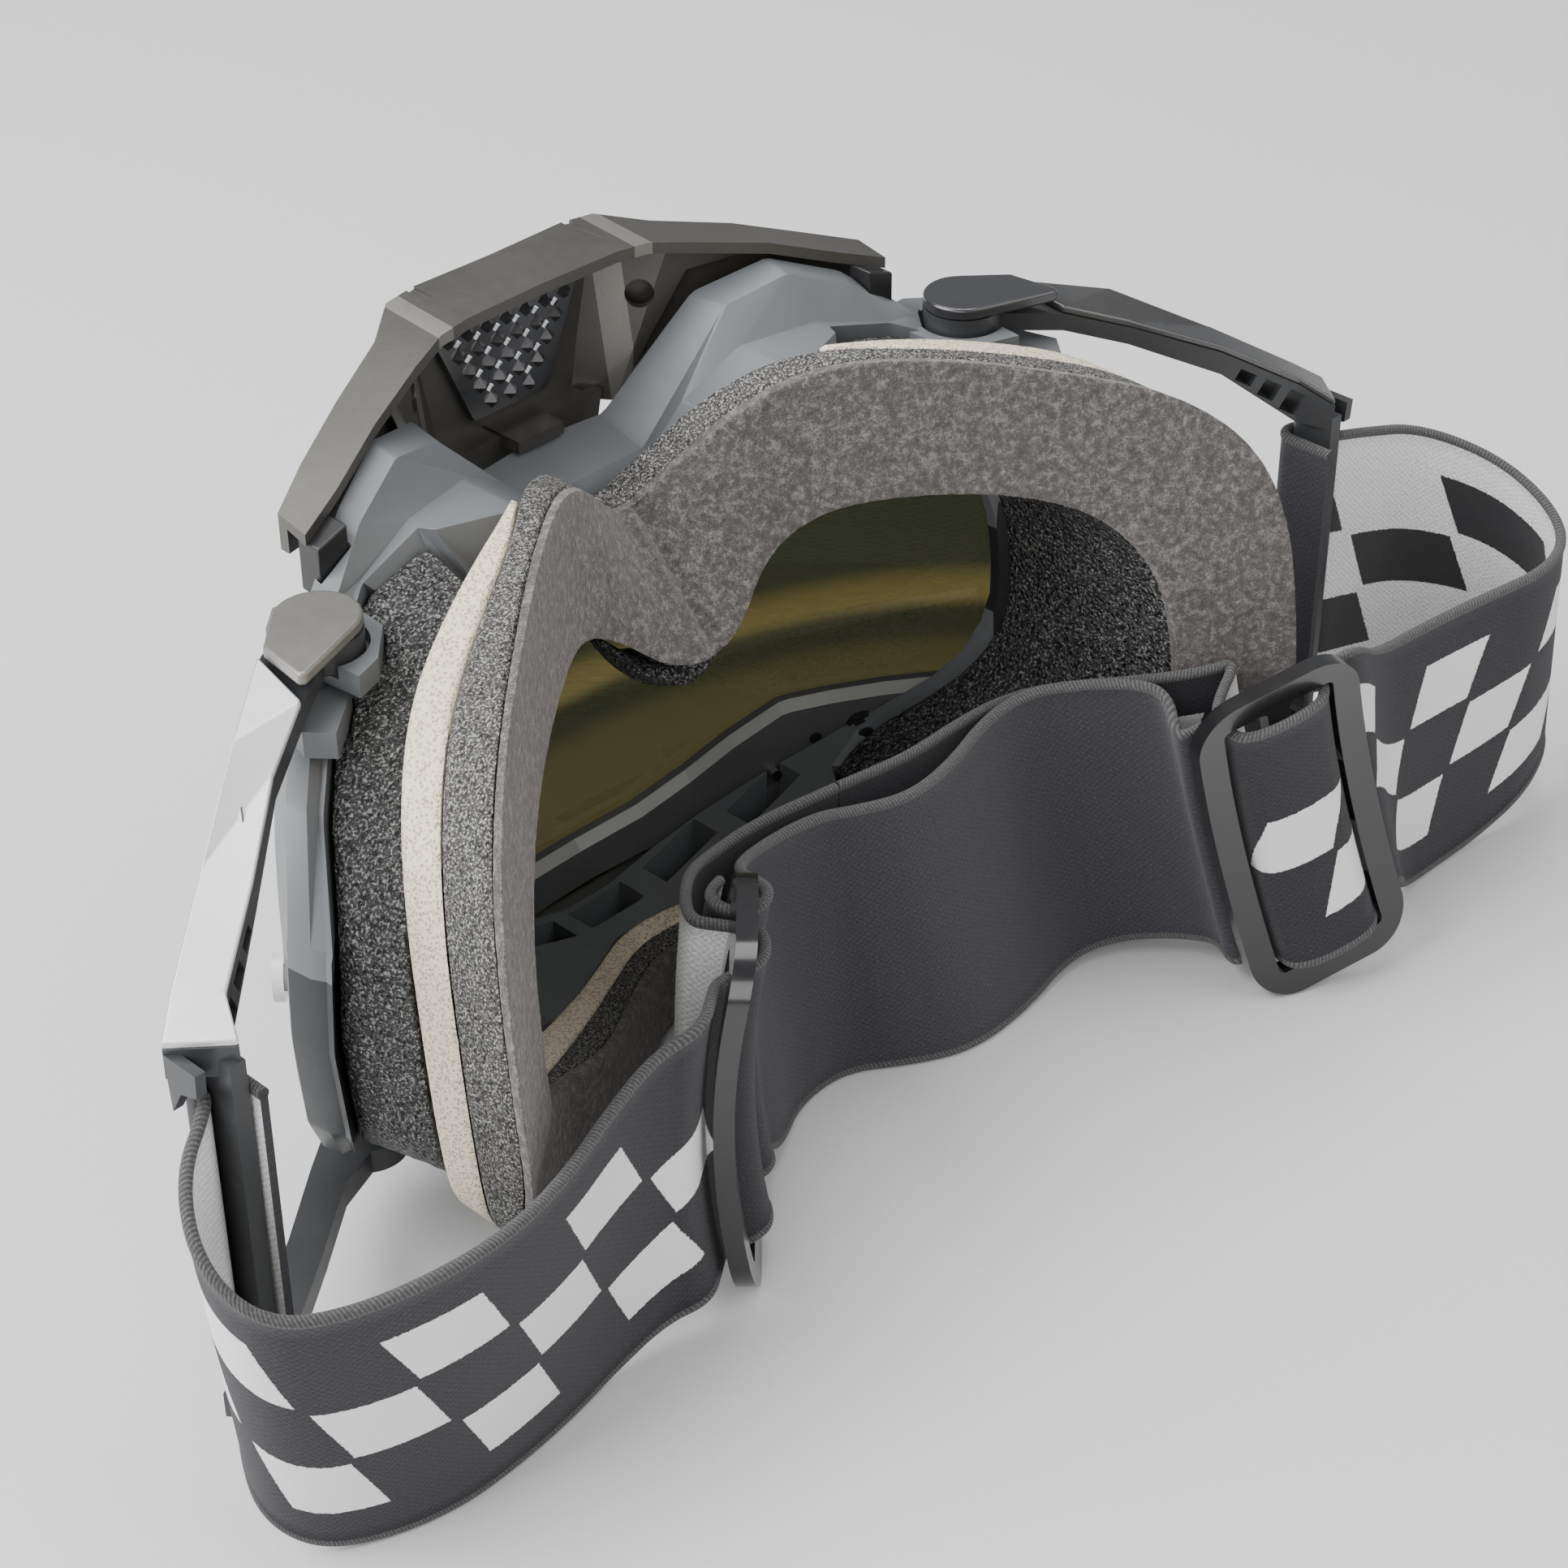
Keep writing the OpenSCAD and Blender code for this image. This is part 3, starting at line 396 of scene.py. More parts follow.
@dataclass(frozen=True)
class Webbing:
    """Elastic webbing: a knit ground, with raised blocks in a slanting chequer if it has a figure.

    The pattern reads the strap's UV map, which is in metres along and across the strap.
    """

    RIB = 0.0011
    WALE = 0.0009
    FUZZ = 2300.0
    TWIST = 0.00052
    TWIST_LEAN = 0.002
    KNIT_DEPTH = 0.00022
    BLOCK_DEPTH = 0.0005
    FRAY = 0.0009
    MARGIN = 0.0068
    ROW = 0.0105
    ROWS = 3.0
    ROW_GAP = 0.05
    BLOCK_GAP = 0.04

    name: str
    ground: Triple
    figure: Triple | None = None
    pitch: float = 0.0135
    slant: float = 0.45
    every: float = 9.0
    filled: float = 6.5
    skip: float = 100.0
    hem: bool = False

    def build(self) -> Material:
        """Makes the material."""
        s = Shader(self.name)
        along, across, _ = s.split(s.place("UV"))
        fuzz = s.noise(s.place("UV"), self.FUZZ, 4, 0.75)
        height = s.math("ADD", self.thread(s, along, across), fuzz)
        colour = s.ramp(height, [(0.2, toned(self.ground, 0.4)), (0.6, self.ground),
                                 (0.95, toned(self.ground, 2.1, 0.02))])
        s.set(Roughness=0.9, Sheen_Weight=0.12, Sheen_Roughness=0.5, Specular_IOR_Level=0.2)
        if self.figure:
            block = self.blocks(s, along, across, fuzz)
            worn = s.mix(fuzz, toned(self.figure, 0.8), self.figure)
            colour = s.mix(block, colour, worn)
            s.set(Roughness=s.math("MULTIPLY_ADD", block, -0.3, 0.9))
            s.bump(block, self.BLOCK_DEPTH, 1.0)
        s.set(Base_Color=colour)
        s.bump(height, self.KNIT_DEPTH, 0.8)
        return s.material

    def thread(self, s: Shader, along: Socket, across: Socket) -> Socket:
        """The threads: a knit on the faces and a twist on the hem.

        Args:
            s: The shader.
            along: Place along the strap.
            across: Place across the strap.

        Returns:
            Their height.
        """
        if self.hem:
            twist = s.math("ADD", s.math("MULTIPLY", along, math.tau / self.TWIST),
                           s.math("MULTIPLY", across, math.tau / self.TWIST_LEAN))
            return s.math("MULTIPLY", s.math("SINE", twist), 0.17)
        rib = s.math("SINE", s.math("MULTIPLY", along, math.tau / self.RIB))
        wale = s.math("SINE", s.math("MULTIPLY", across, math.tau / self.WALE))
        return s.math("MULTIPLY", s.math("MULTIPLY", rib, wale), 0.1)

    def blocks(self, s: Shader, along: Socket, across: Socket, fuzz: Socket) -> Socket:
        """The chequer of slanted blocks, in rows between the plain margins.

        Args:
            s: The shader.
            along: Place along the strap.
            across: Place across the strap.
            fuzz: A noise that frays the edges.

        Returns:
            1 on a block and 0 off it.
        """
        fray = s.math("MULTIPLY_ADD", fuzz, self.FRAY, -self.FRAY / 2)
        lean = s.math("ADD", s.math("MULTIPLY_ADD", across, self.slant, along), fray)
        inner = s.math("SUBTRACT", s.math("ADD", across, fray), self.MARGIN)
        row = s.math("DIVIDE", inner, self.ROW)
        column = s.math("DIVIDE", lean, self.pitch)
        odd = s.math("MODULO", s.math("ADD", s.math("FLOOR", row), s.math("FLOOR", column)), 2.0)
        odd = s.math("GREATER_THAN", s.math("ABSOLUTE", odd), 0.5)
        in_row = s.math("MULTIPLY", s.math("GREATER_THAN", row, 0.0),
                        s.math("LESS_THAN", row, self.ROWS))
        inset = s.math("GREATER_THAN", s.math("PINGPONG", s.math("FRACT", row), 0.5), self.ROW_GAP)
        side = s.math("GREATER_THAN", s.math("PINGPONG", s.math("FRACT", column), 0.5),
                      self.BLOCK_GAP)
        shifted = s.math("ADD", s.math("FLOOR", column), self.skip)
        group = s.math("LESS_THAN", s.math("MODULO", shifted, self.every), self.filled)
        solid = s.math("MULTIPLY", s.math("MULTIPLY", inset, side),
                       s.math("MULTIPLY", in_row, group))
        return s.math("MULTIPLY", solid, odd)


class Finishes:
    """Every finish of the goggles, made once."""

    FINE = 0.00001
    FINEST = 0.000006
    TINT_TALL = 0.09
    # Up the lens: the dark olive stops are its tint, and the lighter amber stops are a painted
    # reflection.
    TINTS = (
        (0.30, (0.055, 0.049, 0.020)), (0.37, (0.050, 0.046, 0.019)), (0.41, (0.024, 0.026, 0.014)),
        (0.445, (0.026, 0.027, 0.014)), (0.47, (0.105, 0.087, 0.03)), (0.5, (0.092, 0.076, 0.026)),
        (0.535, (0.028, 0.030, 0.017)), (0.75, (0.024, 0.027, 0.016)), (1.0, (0.05, 0.048, 0.026)))

    def __init__(self) -> None:
        """Makes the materials."""
        self.plastics()
        self.foams()
        self.straps()
        self.lens = self.tinted_lens()
        self.clear = self.clear_plastic()

    def plastics(self) -> None:
        """Makes the moulded finishes."""
        # The frame's temple sides are darkened low down as painted shade.
        self.frame = Moulded("frame_satin", (0.118, 0.125, 0.132), rough=0.42, grain=0.00002,
                             dark_below=60).build()
        self.carrier = Moulded("carrier_satin", (0.085, 0.087, 0.089), rough=0.38).build()
        self.lip = Moulded("carrier_edge", (0.24, 0.24, 0.22), rough=0.34).build()
        # The guard's ridge bars carry a painted highlight band.
        self.guard = Moulded("guard_satin", (0.088, 0.084, 0.076), rough=0.32, metallic=0.55,
                             light_band=(15.8, 18.6)).build()
        self.black = Moulded("black_moulding", (0.012, 0.012, 0.013), rough=0.36).build()
        self.slider = Moulded("slider_gloss", (0.009, 0.009, 0.010), rough=0.22, coat=0.5,
                              grain=self.FINEST).build()
        self.studs = Moulded("stud_gloss", (0.13, 0.13, 0.135), rough=0.22, metallic=0.85,
                             coat=0.8, grain=self.FINEST).build()
        self.arm = Moulded("arm_satin", (0.028, 0.029, 0.031), rough=0.36).build()
        # Painted light: the left arm cover and cap are a lit copy, pale and silvery, and the right
        # ones a shaded copy, nearly black, of one and the same finish, because the light falls on
        # the left.
        lit_cover = Moulded("cover_silver", (0.56, 0.565, 0.57), rough=0.3, metallic=0.45,
                         grain=self.FINE)
        dark = Moulded("cover_dark", (0.085, 0.085, 0.086), rough=0.26, metallic=0.6, coat=0.3,
                       grain=self.FINE)
        self.cover = {Side.LEFT: lit_cover.build(), Side.RIGHT: dark.build()}
        lit_cap = Moulded("cap_bronze", (0.20, 0.193, 0.178), rough=0.34, metallic=0.55)
        shaded_cap = Moulded("cap_gloss", (0.020, 0.020, 0.022), rough=0.24, coat=0.5)
        self.cap = {Side.LEFT: lit_cap.build(), Side.RIGHT: shaded_cap.build()}
        self.steel = Moulded("pin_steel", (0.5, 0.5, 0.51), rough=0.3, metallic=1.0).build()

    def foams(self) -> None:
        """Makes the foams and the fleece."""
        # The vent foam's bright flecks are painted glints on its strands.
        self.vent = Foam("vent_foam", (0.030, 0.030, 0.030), cell=0.0009, depth=0.0006,
                         fleck=(0.36, 0.355, 0.345), fleck_share=0.42, rough=0.5).build()
        self.beige = Foam("beige_foam", (0.74, 0.65, 0.50), cell=0.0005, depth=0.00014,
                          fleck=(0.84, 0.76, 0.62)).build()
        self.grey = Foam("grey_foam", (0.060, 0.058, 0.055), cell=0.0007, depth=0.0003,
                         fleck=(0.50, 0.49, 0.47), fleck_share=0.46).build()
        self.fleece = Fleece("brushed_fleece", (0.098, 0.090, 0.086), (0.25, 0.235, 0.225)).build()

    def straps(self) -> None:
        """Makes the webbing's finishes."""
        self.strap_outer = Webbing("webbing_outer", (0.031, 0.029, 0.035),
                                   figure=(0.86, 0.86, 0.85)).build()
        self.strap_plain = Webbing("webbing_plain", (0.047, 0.044, 0.052)).build()
        self.strap_inner = Webbing("webbing_inner", (0.88, 0.885, 0.88),
                                   figure=(0.03, 0.029, 0.032), pitch=0.021, every=8.0,
                                   filled=2.5, skip=5.0).build()
        self.hem = Webbing("webbing_hem", (0.085, 0.083, 0.084), hem=True).build()

    def tinted_lens(self) -> Material:
        """Clear polycarbonate, tinted dark olive, with a painted reflection: an amber band across
        the middle.
        """
        s = Shader("tinted_lens")
        place = s.place()
        height = s.math("DIVIDE", s.split(place)[2], self.TINT_TALL)
        wave = s.math("MULTIPLY_ADD", s.noise(place, 14, 1), 0.06, -0.03)
        s.set(Base_Color=s.ramp(s.math("ADD", height, wave), self.TINTS), Roughness=0.03,
              Transmission_Weight=1.0, IOR=1.58, Coat_Weight=0.3, Coat_Roughness=0.03)
        return s.material

    @staticmethod
    def clear_plastic() -> Material:
        """Clear moulded plastic."""
        s = Shader("clear_plastic")
        cloud = s.noise(s.place(), 300, 2)
        s.set(Base_Color=s.mix(cloud, (0.82, 0.83, 0.8), (0.95, 0.95, 0.93)),
              Roughness=s.math("MULTIPLY_ADD", cloud, 0.1, 0.08), Transmission_Weight=0.25, IOR=1.5)
        return s.material


def as_object(bm: Mesh, name: str, materials: Sequence[Material]) -> Piece:
    """Turns a bmesh into an object at the origin.

    Args:
        bm: The shape, in metres.
        name: The object's name.
        materials: Its materials.

    Returns:
        The object, linked to the scene.
    """
    mesh = bpy.data.meshes.new(name)
    bm.to_mesh(mesh)
    bm.free()
    piece = bpy.data.objects.new(name, mesh)
    bpy.context.scene.collection.objects.link(piece)
    for material in materials:
        mesh.materials.append(material)
    return piece


def smooth(bm: Mesh, angle: float) -> None:
    """Shades a shape smooth, but for edges sharper than the angle in degrees."""
    limit = math.radians(angle)
    for polygon in bm.faces:
        polygon.smooth = True
    for edge in bm.edges:
        edge.smooth = len(edge.link_faces) == 2 and edge.calc_face_angle(0) < limit


def merged_copy(node: str, dissolve: float = 0.5) -> Mesh:
    """A merged copy of a CAD node's mesh.

    Args:
        node: The node's name.
        dissolve: Faces that meet at under this angle in degrees become one.

    Returns:
        The copy.
    """
    bm = bmesh.new()
    bm.from_mesh(frame["nodes"][node].data)
    bmesh.ops.remove_doubles(bm, verts=bm.verts, dist=MERGE)
    if dissolve:
        bmesh.ops.dissolve_limit(bm, angle_limit=math.radians(dissolve), verts=bm.verts,
                                 edges=bm.edges)
    return bm


def dress(node: str, material: Material) -> None:
    """Gives a CAD node that stays a finish."""
    mesh = frame["nodes"][node].data
    mesh.materials.clear()
    mesh.materials.append(material)
    LOG.info("dressed %s with %s", node, material.name)


def body_of(node: str) -> str:
    """The name of the body that holds a node."""
    bodies = frame["record"]["behaviour"]["bodies"]
    return next(body for body, nodes in bodies.items() if node in nodes)


def stand_for(piece: Piece, node: str, rides: bool = True) -> Piece:
    """Makes a piece take a CAD node's place.

    Args:
        piece: The new piece.
        node: The node that it replaces.
        rides: Whether it rides on the node's body.

    Returns:
        The piece.
    """
    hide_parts(node)
    if rides:
        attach(piece, body_of(node))
    LOG.info("built %s for %s", piece.name, node)
    return piece


@dataclass
class Rounded:
    """A rigid CAD node with its edges rounded, as moulded parts have them."""

    node: str
    material: Material
    width: float = 0.35
    angle: float = 30.0
    segments: int = 2

    def build(self) -> Piece:
        """Makes the rounded piece in the node's place."""
        bm = merged_copy(self.node)
        smooth(bm, self.angle)
        piece = as_object(bm, f"{self.node}_rounded", [self.material])
        bevel = piece.modifiers.new("edges", "BEVEL")
        bevel.width = self.width * MM
        bevel.segments = self.segments
        bevel.limit_method = "ANGLE"
        bevel.angle_limit = math.radians(self.angle)
        bevel.harden_normals = True
        bevel.use_clamp_overlap = True
        return stand_for(piece, self.node)


@dataclass
class FoamLayer:
    """A layer of the face foam, from the CAD layer's loops, with soft edges and a cut surface.

    Lengths are in millimetres. The seam over the nose and the painted shade at the temples are
    placed by the constants.
    """

    JOINED = 3.1
    CREASED_FROM = 35.0
    SHARP_FROM = 60.0
    PULLS = (1000.0, 2300.0)
    WAVE = 45.0
    SEAM_X = 1.8
    SEAM_HALF = 1.6
    SEAM_Z = (60.0, 82.0)
    SEAM_FADE = 4.0
    LINED_BEYOND = 38.0
    LINED_Z = (30.0, 77.0)
    LINED_TURN = 0.3

    node: str
    material: Material
    fill: float = 0.8
    crease: float = 0.8
    levels: int = 3
    rough: float = 0.06
    grain: float = 1.0
    swell: float = 0.0
    fold: float = 0.0
    lining: Material | None = None

    def build(self) -> Piece:
        """Makes the layer in the node's place.

        Returns:
            The piece.
        """
        bm = merged_copy(self.node, 0)
        bmesh.ops.join_triangles(bm, faces=bm.faces, angle_face_threshold=self.JOINED,
                                 angle_shape_threshold=self.JOINED)
        layer = (bm.edges.layers.float.get("crease_edge")
                 or bm.edges.layers.float.new("crease_edge"))
        for edge in bm.edges:
            creased = edge.calc_face_angle(0) > math.radians(self.CREASED_FROM)
            edge[layer] = self.crease if creased else 0.0
        materials = [m for m in (self.material, self.lining) if m]
        piece = as_object(bm, f"{self.node}_soft", materials)
        rounding = piece.modifiers.new("rounding", "SUBSURF")
        rounding.levels = rounding.render_levels = self.levels
        self.apply(piece)
        bm = bmesh.new()
        bm.from_mesh(piece.data)
        bm.normal_update()
        for vert in bm.verts:
            vert.co += vert.normal * self.relief(vert.co) * MM
            vert.co.y += self.folded(vert) * MM
        smooth(bm, self.SHARP_FROM)
        self.line(bm)
        bm.to_mesh(piece.data)
        bm.free()
        return stand_for(piece, self.node)

    def relief(self, spot: Vector) -> float:
        """How far the cut surface stands out at a point."""
        fine, finer = (noise.noise(spot * (scale / self.grain)) for scale in self.PULLS)
        wave = noise.noise(spot * self.WAVE)
        return (fine + 0.5 * finer) * self.rough + wave * self.rough * 1.5 + self.swell

    def line(self, bm: Mesh) -> None:
        """Paints shade on the temple side of the eye opening: faces turned inwards there get the
        dark vent foam.
        """
        if not self.lining:
            return
        for polygon in bm.faces:
            spot, outward = polygon.calc_center_median() / MM, polygon.normal
            inside = outward.x * spot.x < -self.LINED_TURN * abs(spot.x)
            level = self.LINED_Z[0] < spot.z < self.LINED_Z[1]
            if inside and level and abs(spot.x) > self.LINED_BEYOND:
                polygon.material_index = 1

    def folded(self, vert: bmesh.types.BMVert) -> float:
        """How far the seam over the nose draws a point of the face in."""
        x, z = vert.co.x / MM - self.SEAM_X, vert.co.z / MM
        low, high = self.SEAM_Z
        if vert.normal.y > -0.2 or not low < z < high:
            return 0.0
        fade = min(1.0, (z - low) / self.SEAM_FADE, (high - z) / self.SEAM_FADE)
        return self.fold * max(0.0, 1 - abs(x) / self.SEAM_HALF) * fade

    @staticmethod
    def apply(piece: Piece) -> None:
        """Applies the piece's modifiers to its mesh."""
        graph = bpy.context.evaluated_depsgraph_get()
        mesh = bpy.data.meshes.new_from_object(piece.evaluated_get(graph))
        piece.modifiers.clear()
        old = piece.data
        piece.data = mesh
        bpy.data.meshes.remove(old)


@dataclass
class FaceFoam:
    """The foam stack, its fleece face, the nose pad and the vent foams."""

    finishes: Finishes

    def build(self) -> None:
        """Makes every soft layer."""
        f = self.finishes
        layers = [
            FoamLayer("face_fleece", f.fleece, fill=0.7, levels=4, rough=0.07, grain=1.1, fold=1.3),
            # The inward faces at the temples get the dark vent foam as painted shade.
            FoamLayer("foam_grey", f.grey, rough=0.05, lining=f.vent),
            FoamLayer("foam_beige", f.beige, rough=0.03, lining=f.vent),
            *(FoamLayer(f"vent_foam_{side.word}", f.vent, crease=0.9, levels=4, rough=0.14,
                        grain=1.3, swell=-0.1) for side in Side),
            FoamLayer("vent_foam_brow", f.vent, crease=0.95, grain=1.3),
            FoamLayer("nose_pad", f.vent, fill=0.6, crease=0.0, grain=1.2),
        ]
        for layer in layers:
            layer.build()


@dataclass(frozen=True)
class Slider:
    """A strap slider's place in the CAD: its foot, its turn and its lean."""

    foot: Triple
    turn: float
    lean: float
    width: float = 25.0
    bar: float = 4.0
    play: float = 1.2
    bow: float = 120.0

    def at(self, along: float, out: float, up: float) -> Vector:
        """A point on the slider.

        Args:
            along: Millimetres along it from its centre bar.
            out: Millimetres out of its front.
            up: Millimetres up it.

        Returns:
            The point in the drawing's millimetres.
        """
        turn, lean = math.radians(self.turn), math.radians(self.lean)
        x = along * math.cos(lean) + up * math.sin(lean)
        z = up * math.cos(lean) - along * math.sin(lean)
        return Vector((self.foot[0] + x * math.cos(turn) + out * math.sin(turn),
                       self.foot[1] + x * math.sin(turn) - out * math.cos(turn),
                       self.foot[2] + z))


@dataclass(frozen=True)
class Key:
    """A place on a strap: its lower edge, its upper edge and how far its middle bows."""

    low: Vector
    high: Vector
    bow: Vector = field(default_factory=Vector)

    def mixed(self, other: "Key", share: float) -> "Key":
        """A key between this one and another."""
        return Key(self.low.lerp(other.low, share), self.high.lerp(other.high, share),
                   self.bow.lerp(other.bow, share))

    def across(self, share: float) -> Vector:
        """The point at a share of the strap's width."""
        return self.low.lerp(self.high, share) + self.bow * (4 * share * (1 - share))


def keys(*rows: Sequence[float]) -> list[Key]:
    """Keys from rows of six numbers, a low and a high point in the drawing's millimetres."""
    return [Key(Vector(row[:3]), Vector(row[3:])) for row in rows]


@dataclass
class Strap:
    """A run of elastic webbing with rolled edges, or a part of one, swept along its keys."""

    CUTS = 4
    STEPS = 20
    HEM_REACH = 125
    HEM_STEP = 25
    HEM_INSET = 1.7
    HEM_UV = 0.4
    SAME = 0.0000005
    SHARP_FROM = 60.0

    name: str
    keys: list[Key]
    outward: int
    finishes: Finishes
    patterned: bool = True
    width: float = 45.0
    half: float = 0.55
    hem: float = 0.78
    start: float = 0.0
    part: tuple[float, float] = (0.0, 1.0)

    def softened(self) -> list[Key]:
        """The keys after passes of corner cutting, which keep the ends."""
        path = self.keys
        for _ in range(self.CUTS):
            cut = [path[0]]
            for a, b in zip(path, path[1:]):
                cut += [a.mixed(b, 0.25), a.mixed(b, 0.75)]
            path = cut + [path[-1]]
        return path

    def outline(self) -> list[tuple[float, float, Face]]:
        """The cross-section as points across and out, with the face that starts at each."""
        inset = self.hem * self.HEM_INSET
        reach = self.width - inset
        flat = [inset + (reach - inset) * i / self.STEPS for i in range(self.STEPS + 1)]
        angles = range(self.HEM_REACH, -self.HEM_REACH - 1, -self.HEM_STEP)
        turns = [math.radians(angle) for angle in angles]
        edge = [(self.hem - self.hem * math.cos(t), self.hem * math.sin(t)) for t in turns]
        points = [(a, self.half, Face.OUTER) for a in flat]
        points += [(self.width - a, out, Face.HEM) for a, out in edge]
        points += [(a, -self.half, Face.INNER) for a in reversed(flat)]
        points += [(a, -out, Face.HEM) for a, out in edge]
        return points

    def build(self) -> Piece:
        """Makes the webbing.

        Returns:
            The piece, not yet riding on anything.
        """
        path = self.softened()
        loop = self.outline()
        n, m = len(path), len(loop)
        begin, end = (round(share * (n - 1)) for share in self.part)
        bm = bmesh.new()
        bmesh.ops.create_grid(bm, x_segments=end - begin, y_segments=m, size=1)
        uv = bm.loops.layers.uv.new("UVMap")
        middles = [k.across(0.5) for k in path]
        run = [self.start]
        for a, b in zip(middles, middles[1:]):
            run.append(run[-1] + (b - a).length)
        grid: dict[bmesh.types.BMVert, tuple[int, int]] = {}
        for vert in bm.verts:
            grid[vert] = (begin + round((vert.co.x + 1) / 2 * (end - begin)),
                          round((vert.co.y + 1) / 2 * m))
        for vert, (i, j) in grid.items():
            across, out, _ = loop[j % m]
            ahead = middles[min(n - 1, i + 1)] - middles[max(0, i - 1)]
            rise = path[i].high - path[i].low
            side = ahead.cross(rise).normalized() * self.outward
            point = path[i].across(across / self.width) + side * out
            vert.co = (point - Vector((0, DATUM_Y, 0))) * MM
        for polygon in bm.faces:
            row = min(grid[v][1] for v in polygon.verts)
            polygon.material_index = loop[row][2].value
            for corner in polygon.loops:
                i, j = grid[corner.vert]
                lift = j * self.HEM_UV if loop[row][2] is Face.HEM else loop[j % m][0]
                corner[uv].uv = (run[i] * MM, lift * MM)
        bmesh.ops.remove_doubles(bm, verts=bm.verts, dist=self.SAME)
        bmesh.ops.holes_fill(bm, edges=bm.edges, sides=m + 2)
        bmesh.ops.recalc_face_normals(bm, faces=bm.faces)
        smooth(bm, self.SHARP_FROM)
        f = self.finishes
        outer = f.strap_outer if self.patterned else f.strap_plain
        return as_object(bm, self.name, [outer, f.strap_inner, f.hem])


class Bend(NamedTuple):
    """A bend of the webbing between two bodies, from a first to a second place in metres."""

    before: str
    after: str
    start: Triple
    end: Triple


class Run(NamedTuple):
    """A run of the head strap, cut at a share of it into two parts, with a bend listed for each."""

    word: str
    keys: list[Key]
    cut: float
    bends: tuple[tuple[str, Bend], ...]
    outward: int = 1
    start: float = 0.0


